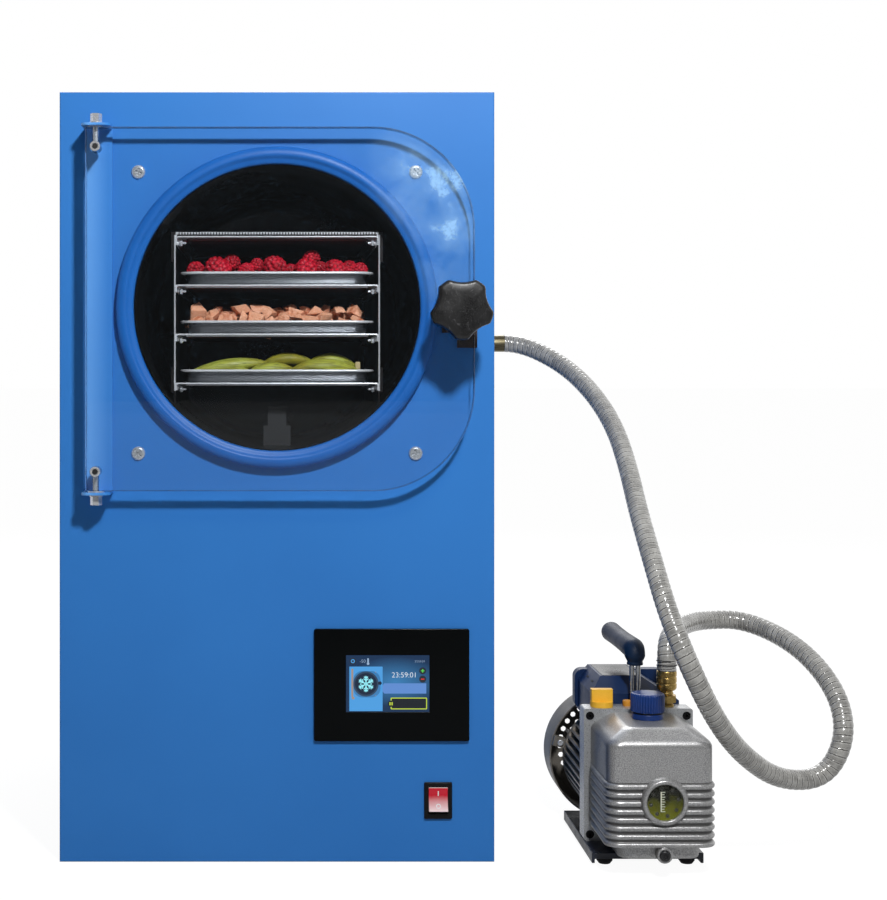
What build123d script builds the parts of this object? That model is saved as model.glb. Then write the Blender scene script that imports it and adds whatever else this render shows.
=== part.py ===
"""Tabletop freeze dryer: a steel cabinet with a round vacuum chamber and clear door,
a wire-reinforced vacuum hose and a two-stage rotary vane pump beside it.

Frame: millimetres, +Z up, origin on the floor under the middle of the cabinet.
The cabinet's front panel faces -Y.
"""

from build123d import *
from math import cos, pi, radians, sin, sqrt, tan
import os

os.makedirs("parts", exist_ok=True)

# ---------------------------------------------------------------- driving sizes
# cabinet
cabinet_width = 435.0
cabinet_depth = 520.0
cabinet_height = 770.0
panel_thickness = 2.0
sheet_thickness = 1.5
base_flange_height = 18.0

# chamber and its ring seal
chamber_drop = 216.0
chamber_z = cabinet_height - chamber_drop
chamber_radius = 141.0
chamber_wall = 4.0
chamber_length = 330.0
chamber_end_thickness = 6.0
flange_plate_thickness = 8.0
flange_plate_margin = 12.0
gasket_inner_radius = 142.0
gasket_outer_radius = 159.5
gasket_step = 3.0
seal_gap = 0.3
foam_thickness = 24.0
coil_tube_radius = 4.0
coil_turns = 6
coil_pitch = 36.0
coil_start = 40.0

# door and its hinge
door_thickness = 25.0
door_gap = 14.0
door_left = -187.4
door_right = 193.5
door_down_reach = 180.6
door_up_reach = 175.8
door_bottom = chamber_z - door_down_reach
door_top = chamber_z + door_up_reach
door_corner_radius = 100.0
hinge_x = -178.0
hinge_strip_width = 28.5
hinge_strip_left = -192.0
bracket_thickness = 2.5
tab_corner_radius = 8.0
washer_thickness = 1.4
washer_radius = 8.5
bolt_radius = 3.0
bolt_hole_radius = 3.3
bolt_head_flats = 10.0
bolt_head_height = 8.5
bolt_washer_radius = 6.8
barrel_nut_radius = 5.0
barrel_nut_drop = 19.0
fit_gap = 0.15
panel_screw_x = 138.0
panel_screw_up = 135.0
panel_screw_down = 145.0
panel_screw_head_radius = 7.0
panel_screw_radius = 2.5

# door clamp: a star knob on a threaded stud
clamp_x = 178.0
clamp_drop = 3.0
clamp_z = chamber_z - clamp_drop
stud_radius = 5.0
thread_gap = 0.06
stud_door_hole_radius = 5.6
clamp_travel = 7.5
clamp_washer_radius = 12.0
clamp_washer_thickness = 3.0
knob_thickness = 21.0
knob_lobes = 5
knob_radius = 30.3
knob_waist = 25.2
knob_waist_radius = 34.0
knob_lobe_round = 3.5
knob_hub_radius = 11.0
knob_hub_height = 2.0
knob_edge_round = 3.0
latch_left = 179.0
latch_right = 199.0
latch_pad_left = 164.0
latch_pad_half_height = 22.0
latch_up_reach = 26.0
latch_down_reach = 37.0
latch_plate_thickness = 4.0
latch_boss_radius = 9.0
latch_boss_height = 12.7
latch_flange_depth = 11.5
latch_screw_head_radius = 4.2
latch_screw_inset = 7.0

# display and switch
display_x = 114.5
display_z = 177.5
display_width = 155.0
display_height = 112.0
display_bezel_depth = 4.0
display_frame_margin = 4.0
display_body_depth = 16.0
window_width = 83.5
window_height = 57.0
window_x_shift = -4.0
window_z_shift = 1.5
window_recess = 0.8
board_width = 120.0
board_height = 84.0
board_thickness = 1.6
board_gap = 12.0
switch_x = 161.0
switch_z = 61.8
switch_bezel_width = 28.0
switch_bezel_height = 36.5
switch_bezel_depth = 2.5
switch_body_margin = 1.5
switch_body_depth = 20.0
rocker_width = 19.0
rocker_half_height = 11.6
rocker_side_gap = 0.3
rocker_end_gap = 1.5
rocker_pivot_depth = 3.0
rocker_tilt = 11.0
rocker_pin_radius = 1.5
rocker_pin_length = 1.5
rocker_pocket_depth = 12.0

# rack, trays and food
rack_front = 20.0
rack_length = 270.0
rack_half_width = 103.5
rack_rise = 77.0
rack_top_z = chamber_z + rack_rise
rack_sheet = 1.5
shelf_pitch = 49.4
shelf_count = 3
shelf_thickness = 1.4
shelf_flange = 7.5
shelf_flange_thickness = 1.4
rack_lip_height = 5.5
rack_side_strip = 3.0
rack_screw_radius = 1.6
rack_screw_drop = 5.2
tray_half_width = 93.3
tray_rim = 5.2
tray_rim_thickness = 2.6
tray_height = 13.4
tray_wall = 1.0
tray_draft = 2.8
tray_front = 26.0
tray_length = 256.0
tray_corner_radius = 16.0

# refrigeration and electrics inside the cabinet
compressor_x = -108.0
compressor_y = 78.0
compressor_radius = 72.0
compressor_height = 190.0
compressor_foot_height = 22.0
compressor_plate = 150.0
suction_pipe_rise = 88.0
pipe_gap = 0.2
condenser_x = 78.0
condenser_width = 230.0
condenser_height = 210.0
condenser_thickness = 38.0
condenser_rear_gap = 22.0
condenser_bottom = 24.0
shroud_thickness = 3.0
shroud_opening_radius = 92.0
shroud_lip = 14.0
fan_radius = 86.0
fan_hub_radius = 24.0
fan_depth = 20.0
fan_blades = 5
fan_shaft_radius = 3.0
fan_motor_radius = 30.0
fan_motor_length = 46.0
running_gap = 0.06
supply_x = -110.0
supply_y = -150.0
supply_width = 170.0
supply_length = 120.0
supply_height = 52.0
inlet_x = -130.0
inlet_z = 100.0
vent_count = 16
vent_pitch = 11.0
vent_width = 180.0
vent_height = 4.0

# vacuum port on the right-hand side
port_depth = 270.0
port_drop = 30.5
port_z = chamber_z - port_drop
port_tube_radius = 7.0
port_bore_radius = 4.5
port_nut_flats = 24.0
port_nut_length = 8.0
port_reach = 45.5
collar_radius = 9.6

# pump
pump_x = 368.0
pump_flange_depth = 31.0
pump_half_width = 55.5
pump_base_top = 12.8
pump_base_sheet = 3.0
pump_base_flange = 10.3
pump_base_lip = 6.2
pump_base_front = -44.0
pump_base_length = 165.0
pump_foot_radius = 8.0
pump_foot_inset_x = 14.5
pump_foot_inset_y = 11.0
pump_flange_height = 134.6
pump_flange_thickness = 24.0
pump_flange_round = 3.0
flange_screw_inset_x = 6.3
flange_screw_inset_top = 7.5
flange_screw_inset_bottom = 6.5
flange_screw_radius = 4.2
flange_screw_recess = 5.0
tank_x_shift = 3.0
tank_half_width = 51.5
tank_length = 92.0
tank_bottom = 18.4
tank_top = 143.8
tank_shoulder = 131.0
tank_plateau_half_width = 31.0
tank_front_slope = 15.0
tank_round = 13.0
tank_wall = 5.0
tank_foot_half_width = 40.0
tank_foot_setback = 6.0
tank_foot_height = 13.5
rib_count = 8
rib_pitch = 8.06
rib_first_z = 33.3
rib_thickness = 3.6
rib_height = 2.5
rib_end_gap = 2.0
glass_x_shift = 5.5
glass_z = 75.6
glass_ring_radius = 21.7
glass_radius = 17.4
glass_ring_height = 6.0
glass_thickness = 5.0
glass_recess = 1.2
drain_z = 24.2
drain_boss_radius = 7.7
drain_boss_height = 3.5
drain_plug_radius = 6.4
drain_plug_head = 3.0
drain_thread_radius = 4.0
drain_thread_length = 9.0
filler_x_shift = 2.5
filler_depth = 31.0
filler_collar_radius = 15.6
filler_collar_height = 5.5
filler_neck_radius = 11.0
filler_neck_height = 16.0
filler_bore_radius = 7.0
cap_radius = 16.9
cap_height = 18.8
cap_top_thickness = 2.5
cap_flutes = 36
cap_flute_radius = 0.7
cap_thread_gap = 0.35
cap_seal_height = 1.8
motor_axis_z = 70.4
motor_core_radius = 45.0
motor_fin_radius = 56.0
motor_fin_count = 44
motor_fin_thickness = 2.4
motor_length = 103.0
motor_end_thickness = 7.0
motor_bore_radius = 33.0
fan_cover_radius = 69.5
fan_cover_wall = 1.5
fan_cover_start = 130.0
fan_cover_length = 43.0
fan_cover_dome = 8.0
fan_cover_tabs = 3
fan_cover_tab_overlap = 5.0
fan_cover_tab_length = 13.0
fan_cover_tab_turn = 45.0
shaft_radius = 6.0
rotor_radius = 30.0
cooling_fan_radius = 52.0
cooling_fan_length = 18.0
cooling_fan_blades = 7
vane_rotor_radius = 15.0
terminal_left_reach = 43.0
terminal_right_reach = 48.0
terminal_label_left_reach = 30.0
terminal_label_right_reach = 12.0
terminal_length = 94.0
terminal_top = 172.5
terminal_wall_top = 158.0
terminal_front_slope = 22.0
terminal_lip = 3.5
terminal_lip_top = 169.5
terminal_lip_thickness = 14.0
terminal_lip_round = 9.0
handle_depth = 17.0
handle_rod_radius = 2.6
handle_rod_spacing = 6.4
handle_rod_seat = 12.0
grip_radius = 11.4
grip_z = 204.5
grip_length = 133.0
grip_socket_bottom = 189.0
grip_socket_radius = 7.6
grip_rod_depth = 9.0
fitting_x_shift = 31.5
fitting_depth = 12.0
fitting_top = 184.4
ferrule_radius = 10.3
ferrule_bottom = 165.0
fitting_bore_radius = 5.0
fitting_nut_flats = 20.0
plug_x_shift = -35.3
plug_base_radius = 11.6
plug_base_height = 5.5
plug_wing_width = 22.0
plug_wing_thickness = 9.0
plug_wing_height = 12.5
plug_stem_radius = 6.0
plug_stem_length = 12.0
plug_stem_gap = 0.3

# hose
hose_radius = 10.0

# ---------------------------------------------------------------- worked-out places
front_y = -cabinet_depth / 2
back_y = cabinet_depth / 2
right_x = cabinet_width / 2
door_back_y = front_y - door_gap
door_front_y = door_back_y - door_thickness
door_mid_y = door_back_y - door_thickness / 2
chamber_outer = chamber_radius + chamber_wall
flange_back_y = front_y + panel_thickness + flange_plate_thickness
foam_inner = chamber_outer + 2 * coil_tube_radius + 1.0
foam_outer = foam_inner + foam_thickness
panel_opening_radius = gasket_outer_radius + 0.5
port_y = front_y + port_depth
port_end_x = right_x + port_reach
pump_flange_y = front_y + pump_flange_depth
flange_top = pump_base_top + pump_flange_height
tank_front_y = pump_flange_y - tank_length
motor_front_y = pump_flange_y + pump_flange_thickness
motor_back_y = motor_front_y + motor_length


def front_plane(y):
    """Plane facing -Y at depth y; its x and y are the frame's X and Z."""
    return Plane.XZ.offset(-y)


def side_plane(x):
    """Plane facing +X at x; its x and y are the frame's Y and Z."""
    return Plane.YZ.offset(x)


def y_axis(x, z):
    """Line along Y through (x, z)."""
    return Axis((x, 0, z), (0, 1, 0))


def z_axis(x, y):
    """Line along Z through (x, y)."""
    return Axis((x, y, 0), (0, 0, 1))


def block(low_1, high_1, low_2, high_2):
    """Rectangle between two corners, in a sketch."""
    with Locations(((low_1 + high_1) / 2, (low_2 + high_2) / 2)):
        Rectangle(high_1 - low_1, high_2 - low_2)


# ================================================================ cabinet
with BuildPart() as base_pan:
    with BuildSketch(Plane.XY):
        block(-right_x, right_x, front_y + panel_thickness, back_y - sheet_thickness)
    extrude(amount=sheet_thickness)
    flange_inner = right_x - 2 * sheet_thickness
    for side in (-1, 1):
        with BuildSketch(Plane.XY.offset(sheet_thickness)):
            with Locations((side * (flange_inner + sheet_thickness / 2), 0)):
                Rectangle(sheet_thickness, cabinet_depth - 4 * panel_thickness)
        extrude(amount=base_flange_height)
base_pan.part.label = "base_pan"
export_step(base_pan.part, "parts/base_pan.step")

with BuildPart() as cabinet_shell:
    with BuildSketch(front_plane(front_y + panel_thickness)):
        block(-right_x, right_x, sheet_thickness, cabinet_height)
    extrude(amount=-(cabinet_depth - panel_thickness - sheet_thickness))
    # one folded sheet: a top with two sides
    with BuildSketch(front_plane(front_y + panel_thickness)):
        block(-right_x + sheet_thickness, right_x - sheet_thickness,
              0, cabinet_height - sheet_thickness)
    extrude(amount=-(cabinet_depth - panel_thickness - sheet_thickness), mode=Mode.SUBTRACT)
    with BuildSketch(side_plane(right_x - 2 * sheet_thickness)):
        with Locations((port_y, port_z)):
            Circle(port_tube_radius + fit_gap)
    extrude(amount=3 * sheet_thickness, mode=Mode.SUBTRACT)
cabinet_shell.part.label = "cabinet_shell"
export_step(cabinet_shell.part, "parts/cabinet_shell.step")

panel_screw_places = [(side * panel_screw_x, chamber_z + rise)
                      for side in (-1, 1) for rise in (-panel_screw_down, panel_screw_up)]
switch_body_width = switch_bezel_width - 2 * switch_body_margin
switch_body_height = switch_bezel_height - 2 * switch_body_margin
with BuildPart() as front_panel:
    with BuildSketch(front_plane(front_y)):
        block(-right_x, right_x, 0, cabinet_height)
        with Locations((0, chamber_z)):
            Circle(panel_opening_radius, mode=Mode.SUBTRACT)
        with Locations((display_x, display_z)):
            Rectangle(display_width - 2 * display_frame_margin + 2 * fit_gap,
                      display_height - 2 * display_frame_margin + 2 * fit_gap,
                      mode=Mode.SUBTRACT)
        with Locations((switch_x, switch_z)):
            Rectangle(switch_body_width + 2 * fit_gap, switch_body_height + 2 * fit_gap,
                      mode=Mode.SUBTRACT)
        with Locations(*panel_screw_places):
            Circle(panel_screw_radius + fit_gap, mode=Mode.SUBTRACT)
    extrude(amount=-panel_thickness)
    fillet(front_panel.faces().sort_by(Axis.Y)[0].outer_wire().edges(), 0.7 * panel_thickness)
front_panel.part.label = "front_panel"
export_step(front_panel.part, "parts/front_panel.step")

with BuildPart() as rear_cover:
    with BuildSketch(front_plane(back_y)):
        block(-right_x, right_x, sheet_thickness, cabinet_height)
        with Locations((condenser_x, condenser_bottom + condenser_height / 2)):
            with GridLocations(0, vent_pitch, 1, vent_count):
                SlotOverall(vent_width, vent_height, mode=Mode.SUBTRACT)
        with Locations((-condenser_x, chamber_z + chamber_radius)):
            with GridLocations(0, vent_pitch, 1, vent_count // 3):
                SlotOverall(vent_width, vent_height, mode=Mode.SUBTRACT)
        with Locations((inlet_x, inlet_z)):
            Rectangle(28, 22, mode=Mode.SUBTRACT)
    extrude(amount=sheet_thickness)
rear_cover.part.label = "rear_cover"
export_step(rear_cover.part, "parts/rear_cover.step")

# ================================================================ chamber
flange_half_width = panel_screw_x + flange_plate_margin
flange_low_z = chamber_z - panel_screw_down - flange_plate_margin
flange_high_z = chamber_z + panel_screw_up + flange_plate_margin
with BuildPart() as chamber:
    with BuildSketch(front_plane(front_y + panel_thickness)):
        with Locations((0, (flange_low_z + flange_high_z) / 2)):
            RectangleRounded(2 * flange_half_width, flange_high_z - flange_low_z,
                             flange_plate_margin)
        with Locations(*panel_screw_places):
            Circle(panel_screw_radius + fit_gap, mode=Mode.SUBTRACT)
    extrude(amount=-flange_plate_thickness)
    with BuildSketch(front_plane(front_y + panel_thickness)):
        with Locations((0, chamber_z)):
            Circle(max(chamber_outer, gasket_outer_radius + gasket_step))
    extrude(amount=-flange_plate_thickness)
    with BuildSketch(front_plane(front_y + panel_thickness)):
        with Locations((0, chamber_z)):
            Circle(chamber_outer)
    extrude(amount=-chamber_length)
    with BuildSketch(front_plane(front_y + panel_thickness)):
        with Locations((0, chamber_z)):
            Circle(chamber_radius)
    extrude(amount=-(chamber_length - chamber_end_thickness), mode=Mode.SUBTRACT)
    with BuildSketch(side_plane(0)):
        with Locations((port_y, port_z)):
            Circle(port_tube_radius + fit_gap)
    extrude(amount=chamber_outer + port_reach, mode=Mode.SUBTRACT)
chamber.part.label = "chamber"
export_step(chamber.part, "parts/chamber.step")

coil_radius = chamber_outer + coil_tube_radius + pipe_gap
coil_places = [front_y + coil_start + turn * coil_pitch for turn in range(coil_turns)]
pipe_back_y = front_y + chamber_length + 3 * coil_tube_radius + 40
suction_pipe_z = compressor_foot_height + compressor_height + suction_pipe_rise
with BuildPart() as evaporator_coil:
    for ring_y in coil_places:
        with BuildSketch(side_plane(0)):
            with Locations((ring_y, chamber_z + coil_radius)):
                Circle(coil_tube_radius)
        revolve(axis=y_axis(0, chamber_z))
    with BuildLine():
        FilletPolyline((-coil_radius, coil_places[0], chamber_z),
                       (-coil_radius, pipe_back_y, chamber_z),
                       (-coil_radius, pipe_back_y, suction_pipe_z),
                       (compressor_x, compressor_y, suction_pipe_z),
                       (compressor_x, compressor_y, compressor_foot_height + compressor_height + pipe_gap),
                       radius=20)
    with BuildSketch(Plane((-coil_radius, coil_places[0], chamber_z), x_dir=(1, 0, 0),
                           z_dir=(0, 1, 0))):
        Circle(coil_tube_radius)
    sweep()
evaporator_coil.part.label = "evaporator_coil"
export_step(evaporator_coil.part, "parts/evaporator_coil.step")

with BuildPart() as chamber_insulation:
    with BuildSketch(front_plane(flange_back_y + 1.0)):
        with Locations((0, chamber_z)):
            Circle(foam_outer)
            Circle(foam_inner, mode=Mode.SUBTRACT)
    extrude(amount=-(chamber_length - flange_plate_thickness - 1.0))
    with BuildSketch(side_plane(0)):
        with Locations((port_y, port_z)):
            Circle(port_tube_radius + 1.0)
    extrude(amount=right_x, mode=Mode.SUBTRACT)
    with BuildSketch(side_plane(-right_x)):
        block(pipe_back_y - 60, pipe_back_y + 60, chamber_z - 2 * coil_tube_radius,
              chamber_z + 2 * coil_tube_radius)
    extrude(amount=right_x - foam_inner + coil_tube_radius, mode=Mode.SUBTRACT)
chamber_insulation.part.label = "chamber_insulation"
export_step(chamber_insulation.part, "parts/chamber_insulation.step")

with BuildPart() as door_gasket:
    with BuildSketch(front_plane(front_y + panel_thickness)):
        with Locations((0, chamber_z)):
            Circle(gasket_outer_radius)
            Circle(gasket_inner_radius, mode=Mode.SUBTRACT)
    extrude(amount=panel_thickness + door_gap - seal_gap)
    fillet(door_gasket.edges().group_by(Axis.Y)[0], 3.0)
    with BuildSketch(front_plane(door_back_y + seal_gap)):
        with Locations((0, chamber_z)):
            Circle(gasket_inner_radius + 2 * gasket_step)
    extrude(amount=-gasket_step, mode=Mode.SUBTRACT)
door_gasket.part.label = "door_gasket"
export_step(door_gasket.part, "parts/door_gasket.step")

# ================================================================ rack and trays
leg_radius = chamber_radius - 0.3
rack_foot_z = chamber_z - sqrt(leg_radius**2 - rack_half_width**2)
rack_inner = rack_half_width - rack_sheet
rack_front_y = front_y + rack_front
rack_mid_y = rack_front_y + rack_length / 2
shelf_tops = [rack_top_z - shelf_pitch * (level + 1) - rack_lip_height + 2.0
              for level in range(shelf_count)]
screw_heights = [rack_top_z - rack_lip_height - rack_screw_drop]
screw_heights += [top - rack_screw_drop for top in shelf_tops]
with BuildPart() as rack_sides:
    for side in (-1, 1):
        inner_x = min(side * rack_inner, side * rack_half_width)
        with BuildSketch(front_plane(rack_front_y)):
            block(inner_x, inner_x + rack_sheet, rack_foot_z, rack_top_z)
        extrude(amount=-rack_length)
        strip_x = min(side * rack_half_width, side * (rack_half_width + rack_side_strip))
        with BuildSketch(front_plane(rack_front_y)):
            block(strip_x, strip_x + rack_side_strip, rack_top_z - 30, rack_top_z)
            block(strip_x, strip_x + rack_side_strip, rack_foot_z + 11, rack_foot_z + 36)
        extrude(amount=-rack_length)
    with BuildSketch(side_plane(0)):
        with Locations(*[(rack_mid_y + place * rack_length / 3, height)
                         for place in (-1.4, 1.4) for height in screw_heights]):
            Circle(rack_screw_radius)
    extrude(amount=rack_half_width + rack_side_strip, both=True, mode=Mode.SUBTRACT)
rack_sides.part.label = "rack_sides"
export_step(rack_sides.part, "parts/rack_sides.step")

with BuildPart() as rack_top:
    with BuildSketch(front_plane(rack_front_y)):
        block(-rack_inner, rack_inner, rack_top_z - rack_lip_height,
              rack_top_z - rack_lip_height + shelf_thickness)
        for side in (-1, 1):
            with Locations((side * (rack_inner - shelf_flange_thickness / 2),
                            rack_top_z - rack_lip_height - shelf_flange / 2)):
                Rectangle(shelf_flange_thickness, shelf_flange)
    extrude(amount=-rack_length)
    with BuildSketch(front_plane(rack_front_y)):
        block(-rack_inner, rack_inner, rack_top_z - rack_lip_height, rack_top_z)
    extrude(amount=-4 * shelf_thickness)
    with BuildSketch(side_plane(0)):
        with Locations(*[(rack_mid_y + place * rack_length / 3, screw_heights[0])
                         for place in (-1.4, 1.4)]):
            Circle(rack_screw_radius)
    extrude(amount=rack_half_width, both=True, mode=Mode.SUBTRACT)
rack_top.part.label = "rack_top"
export_step(rack_top.part, "parts/rack_top.step")

shelf_names = ["shelf_upper", "shelf_middle", "shelf_lower"]
for name, top, screw_z in zip(shelf_names, shelf_tops, screw_heights[1:]):
    with BuildPart() as shelf:
        with BuildSketch(front_plane(rack_front_y)):
            block(-rack_inner, rack_inner, top - shelf_thickness, top)
            for side in (-1, 1):
                with Locations((side * (rack_inner - shelf_flange_thickness / 2),
                                top - shelf_flange / 2)):
                    Rectangle(shelf_flange_thickness, shelf_flange)
        extrude(amount=-rack_length)
        fillet(shelf.edges().filter_by(Axis.Y).group_by(Axis.Z)[-1], 0.8 * shelf_thickness)
        # heater mat bonded to the underside
        with BuildSketch(front_plane(rack_front_y + 8)):
            block(-rack_inner + 10, rack_inner - 10, top - shelf_thickness - 1.5,
                  top - shelf_thickness)
        extrude(amount=-(rack_length - 16))
        with BuildSketch(side_plane(0)):
            with Locations(*[(rack_mid_y + place * rack_length / 3, screw_z)
                             for place in (-1.4, 1.4)]):
                Circle(rack_screw_radius)
        extrude(amount=rack_half_width, both=True, mode=Mode.SUBTRACT)
    shelf.part.label = name
    export_step(shelf.part, f"parts/{name}.step")

with BuildPart() as rack_screws:
    for side in (-1, 1):
        start = side * (rack_inner - shelf_flange_thickness)
        for height in screw_heights:
            for place in (-1.4, 1.4):
                with BuildSketch(side_plane(start)):
                    with Locations((rack_mid_y + place * rack_length / 3, height)):
                        Circle(rack_screw_radius - 0.05)
                extrude(amount=side * (rack_sheet + shelf_flange_thickness))
                with BuildSketch(side_plane(start)):
                    with Locations((rack_mid_y + place * rack_length / 3, height)):
                        Circle(1.7 * rack_screw_radius)
                extrude(amount=-side * 2.0)
rack_screws.part.label = "rack_screws"
export_step(rack_screws.part, "parts/rack_screws.step")

tray_front_y = front_y + tray_front
tray_mid_y = tray_front_y + tray_length / 2
tray_names = ["tray_upper", "tray_middle", "tray_lower"]
for name, floor_z in zip(tray_names, shelf_tops):
    with BuildPart() as tray:
        with BuildSketch(Plane.XY.offset(floor_z)):
            with Locations((0, tray_mid_y)):
                RectangleRounded(2 * (tray_half_width - tray_draft), tray_length - 2 * tray_draft,
                                 tray_corner_radius - tray_draft)
        with BuildSketch(Plane.XY.offset(floor_z + tray_height)):
            with Locations((0, tray_mid_y)):
                RectangleRounded(2 * tray_half_width, tray_length, tray_corner_radius)
        loft()
        with BuildSketch(Plane.XY.offset(floor_z + tray_height - tray_rim_thickness)):
            with Locations((0, tray_mid_y)):
                RectangleRounded(2 * (tray_half_width + tray_rim), tray_length + 2 * tray_rim,
                                 tray_corner_radius + tray_rim)
        extrude(amount=tray_rim_thickness)
        with BuildSketch(Plane.XY.offset(floor_z + tray_wall)):
            with Locations((0, tray_mid_y)):
                RectangleRounded(2 * (tray_half_width - tray_draft - tray_wall),
                                 tray_length - 2 * (tray_draft + tray_wall),
                                 tray_corner_radius - tray_draft - tray_wall)
        with BuildSketch(Plane.XY.offset(floor_z + tray_height)):
            with Locations((0, tray_mid_y)):
                RectangleRounded(2 * (tray_half_width - tray_wall), tray_length - 2 * tray_wall,
                                 tray_corner_radius - tray_wall)
        loft(mode=Mode.SUBTRACT)
    tray.part.label = name
    export_step(tray.part, f"parts/{name}.step")

food_floor = [top + tray_wall for top in shelf_tops]
food_half_x = tray_half_width - tray_draft - tray_wall - 3.0
food_half_y = tray_length / 2 - tray_draft - tray_wall - 3.0
food_bed = 6.0

berry_radius = 11.0
berry_height = 21.0
berry_columns = 7
berry_rows = 9
berry_pitch_x = 2 * food_half_x / berry_columns
berry_pitch_y = 2 * food_half_y / berry_rows
with BuildPart() as raspberries:
    with BuildSketch(Plane.XY.offset(food_floor[0])):
        with Locations((0, tray_mid_y)):
            RectangleRounded(2 * food_half_x, 2 * food_half_y, 8)
    extrude(amount=food_bed)
    with Locations((0, tray_mid_y, food_floor[0] + food_bed)):
        with GridLocations(berry_pitch_x, berry_pitch_y, berry_columns, berry_rows):
            Cone(berry_radius, 0.6 * berry_radius, berry_height,
                 align=(Align.CENTER, Align.CENTER, Align.MIN))
raspberries.part.label = "raspberries"
export_step(raspberries.part, "parts/raspberries.step")

chunk_columns = 7
chunk_rows = 8
chunk_pitch_x = 2 * food_half_x / chunk_columns
chunk_pitch_y = 2 * food_half_y / chunk_rows
with BuildPart() as fish_chunks:
    with BuildSketch(Plane.XY.offset(food_floor[1])):
        with Locations((0, tray_mid_y)):
            RectangleRounded(2 * food_half_x, 2 * food_half_y, 8)
    extrude(amount=food_bed)
    for column in range(chunk_columns):
        for row in range(chunk_rows):
            chunk_x = (column - (chunk_columns - 1) / 2) * chunk_pitch_x
            chunk_y = tray_mid_y + (row - (chunk_rows - 1) / 2) * chunk_pitch_y
            tall = 15.0 + 5.0 * sin(1.9 * column + 2.6 * row)
            turn = 25.0 * sin(3.1 * column + 1.3 * row)
            with Locations(Location((chunk_x, chunk_y, food_floor[1] + food_bed), (0, 0, turn))):
                Box(0.62 * chunk_pitch_x, 0.66 * chunk_pitch_y, tall,
                    align=(Align.CENTER, Align.CENTER, Align.MIN))
fish_chunks.part.label = "fish_chunks"
export_step(fish_chunks.part, "parts/fish_chunks.step")

pod_rows = 8
pod_radius = 12.0
pod_tip_radius = 4.0
pod_tip_length = 9.0
pod_straight = food_half_x - 1.5 - 2 * pod_tip_length
pod_pitch = 2 * (food_half_y - pod_radius) / (pod_rows - 1)
pod_axis_z = food_floor[2] + pod_radius
with BuildPart() as green_pods:
    with BuildSketch(Plane.XY.offset(food_floor[2])):
        with Locations((0, tray_mid_y)):
            RectangleRounded(2 * food_half_x, 2 * food_half_y, 8)
    extrude(amount=food_bed)
    # two pods side by side in every row, lying across the tray
    with Locations((0, tray_mid_y, pod_axis_z)):
        with GridLocations(food_half_x, pod_pitch, 2, pod_rows):
            Cylinder(pod_radius, pod_straight, rotation=(0, 90, 0))
        for turn, reach in ((90, 1), (-90, -1)):
            with Locations((reach * (pod_straight + pod_tip_length) / 2, 0)):
                with GridLocations(food_half_x, pod_pitch, 2, pod_rows):
                    Cone(pod_radius, pod_tip_radius, pod_tip_length, rotation=(0, turn, 0))
green_pods.part.label = "green_pods"
export_step(green_pods.part, "parts/green_pods.step")

sensor_floor = chamber_z - chamber_radius
with BuildPart() as temperature_sensor:
    with BuildSketch(front_plane(rack_front_y + 40)):
        block(-14, 14, sensor_floor + 1.2, sensor_floor + 22)
        block(-9.5, 9.5, sensor_floor + 22, sensor_floor + 41)
    extrude(amount=-12)
temperature_sensor.part.label = "temperature_sensor"
export_step(temperature_sensor.part, "parts/temperature_sensor.step")

# ================================================================ door, hinge and clamp
with BuildPart() as door_panel:
    with BuildSketch(front_plane(door_back_y)):
        with BuildLine():
            outline = FilletPolyline((door_left, door_bottom), (door_right, door_bottom),
                                     (door_right, door_top), (door_left, door_top),
                                     radius=door_corner_radius)
            Line(outline @ 1, outline @ 0)
        make_face()
    extrude(amount=door_thickness)
    chamfer(door_panel.faces().sort_by(Axis.Y)[0].outer_wire().edges(), 1.0)
    with BuildSketch(front_plane(door_back_y)):
        with Locations((clamp_x, clamp_z)):
            Circle(stud_door_hole_radius)
        with Locations((hinge_x, door_top - barrel_nut_drop),
                       (hinge_x, door_bottom + barrel_nut_drop)):
            Circle(barrel_nut_radius + fit_gap)
    extrude(amount=door_thickness, mode=Mode.SUBTRACT)
    for edge_z, inward in ((door_top, -1), (door_bottom, 1)):
        with BuildSketch(Plane.XY.offset(edge_z)):
            with Locations((hinge_x, door_mid_y)):
                Circle(bolt_radius + fit_gap)
        extrude(amount=inward * barrel_nut_drop, mode=Mode.SUBTRACT)
door_panel.part.label = "door_panel"
export_step(door_panel.part, "parts/door_panel.step")

tab_gap = washer_thickness + seal_gap
tab_top_z = door_top + tab_gap
tab_bottom_z = door_bottom - tab_gap
strip_right = hinge_strip_left + hinge_strip_width
with BuildPart() as hinge_bracket:
    with BuildSketch(front_plane(front_y)):
        block(hinge_strip_left, strip_right, tab_bottom_z - bracket_thickness,
              tab_top_z + bracket_thickness)
    extrude(amount=bracket_thickness)
    for tab_z in (tab_bottom_z - bracket_thickness, tab_top_z):
        with BuildSketch(Plane.XY.offset(tab_z)):
            with BuildLine():
                tab = FilletPolyline((hinge_strip_left, front_y), (hinge_strip_left, door_front_y),
                                     (strip_right, door_front_y), (strip_right, front_y),
                                     radius=tab_corner_radius)
                Line(tab @ 1, tab @ 0)
            make_face()
            with Locations((hinge_x, door_mid_y)):
                Circle(bolt_hole_radius, mode=Mode.SUBTRACT)
        extrude(amount=bracket_thickness)
hinge_bracket.part.label = "hinge_bracket"
export_step(hinge_bracket.part, "parts/hinge_bracket.step")

with BuildPart() as hinge_washers:
    for low_z in (tab_top_z - washer_thickness, tab_bottom_z):
        with BuildSketch(Plane.XY.offset(low_z)):
            with Locations((hinge_x, door_mid_y)):
                Circle(washer_radius)
                Circle(bolt_hole_radius, mode=Mode.SUBTRACT)
        extrude(amount=washer_thickness)
hinge_washers.part.label = "hinge_washers"
export_step(hinge_washers.part, "parts/hinge_washers.step")

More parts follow.
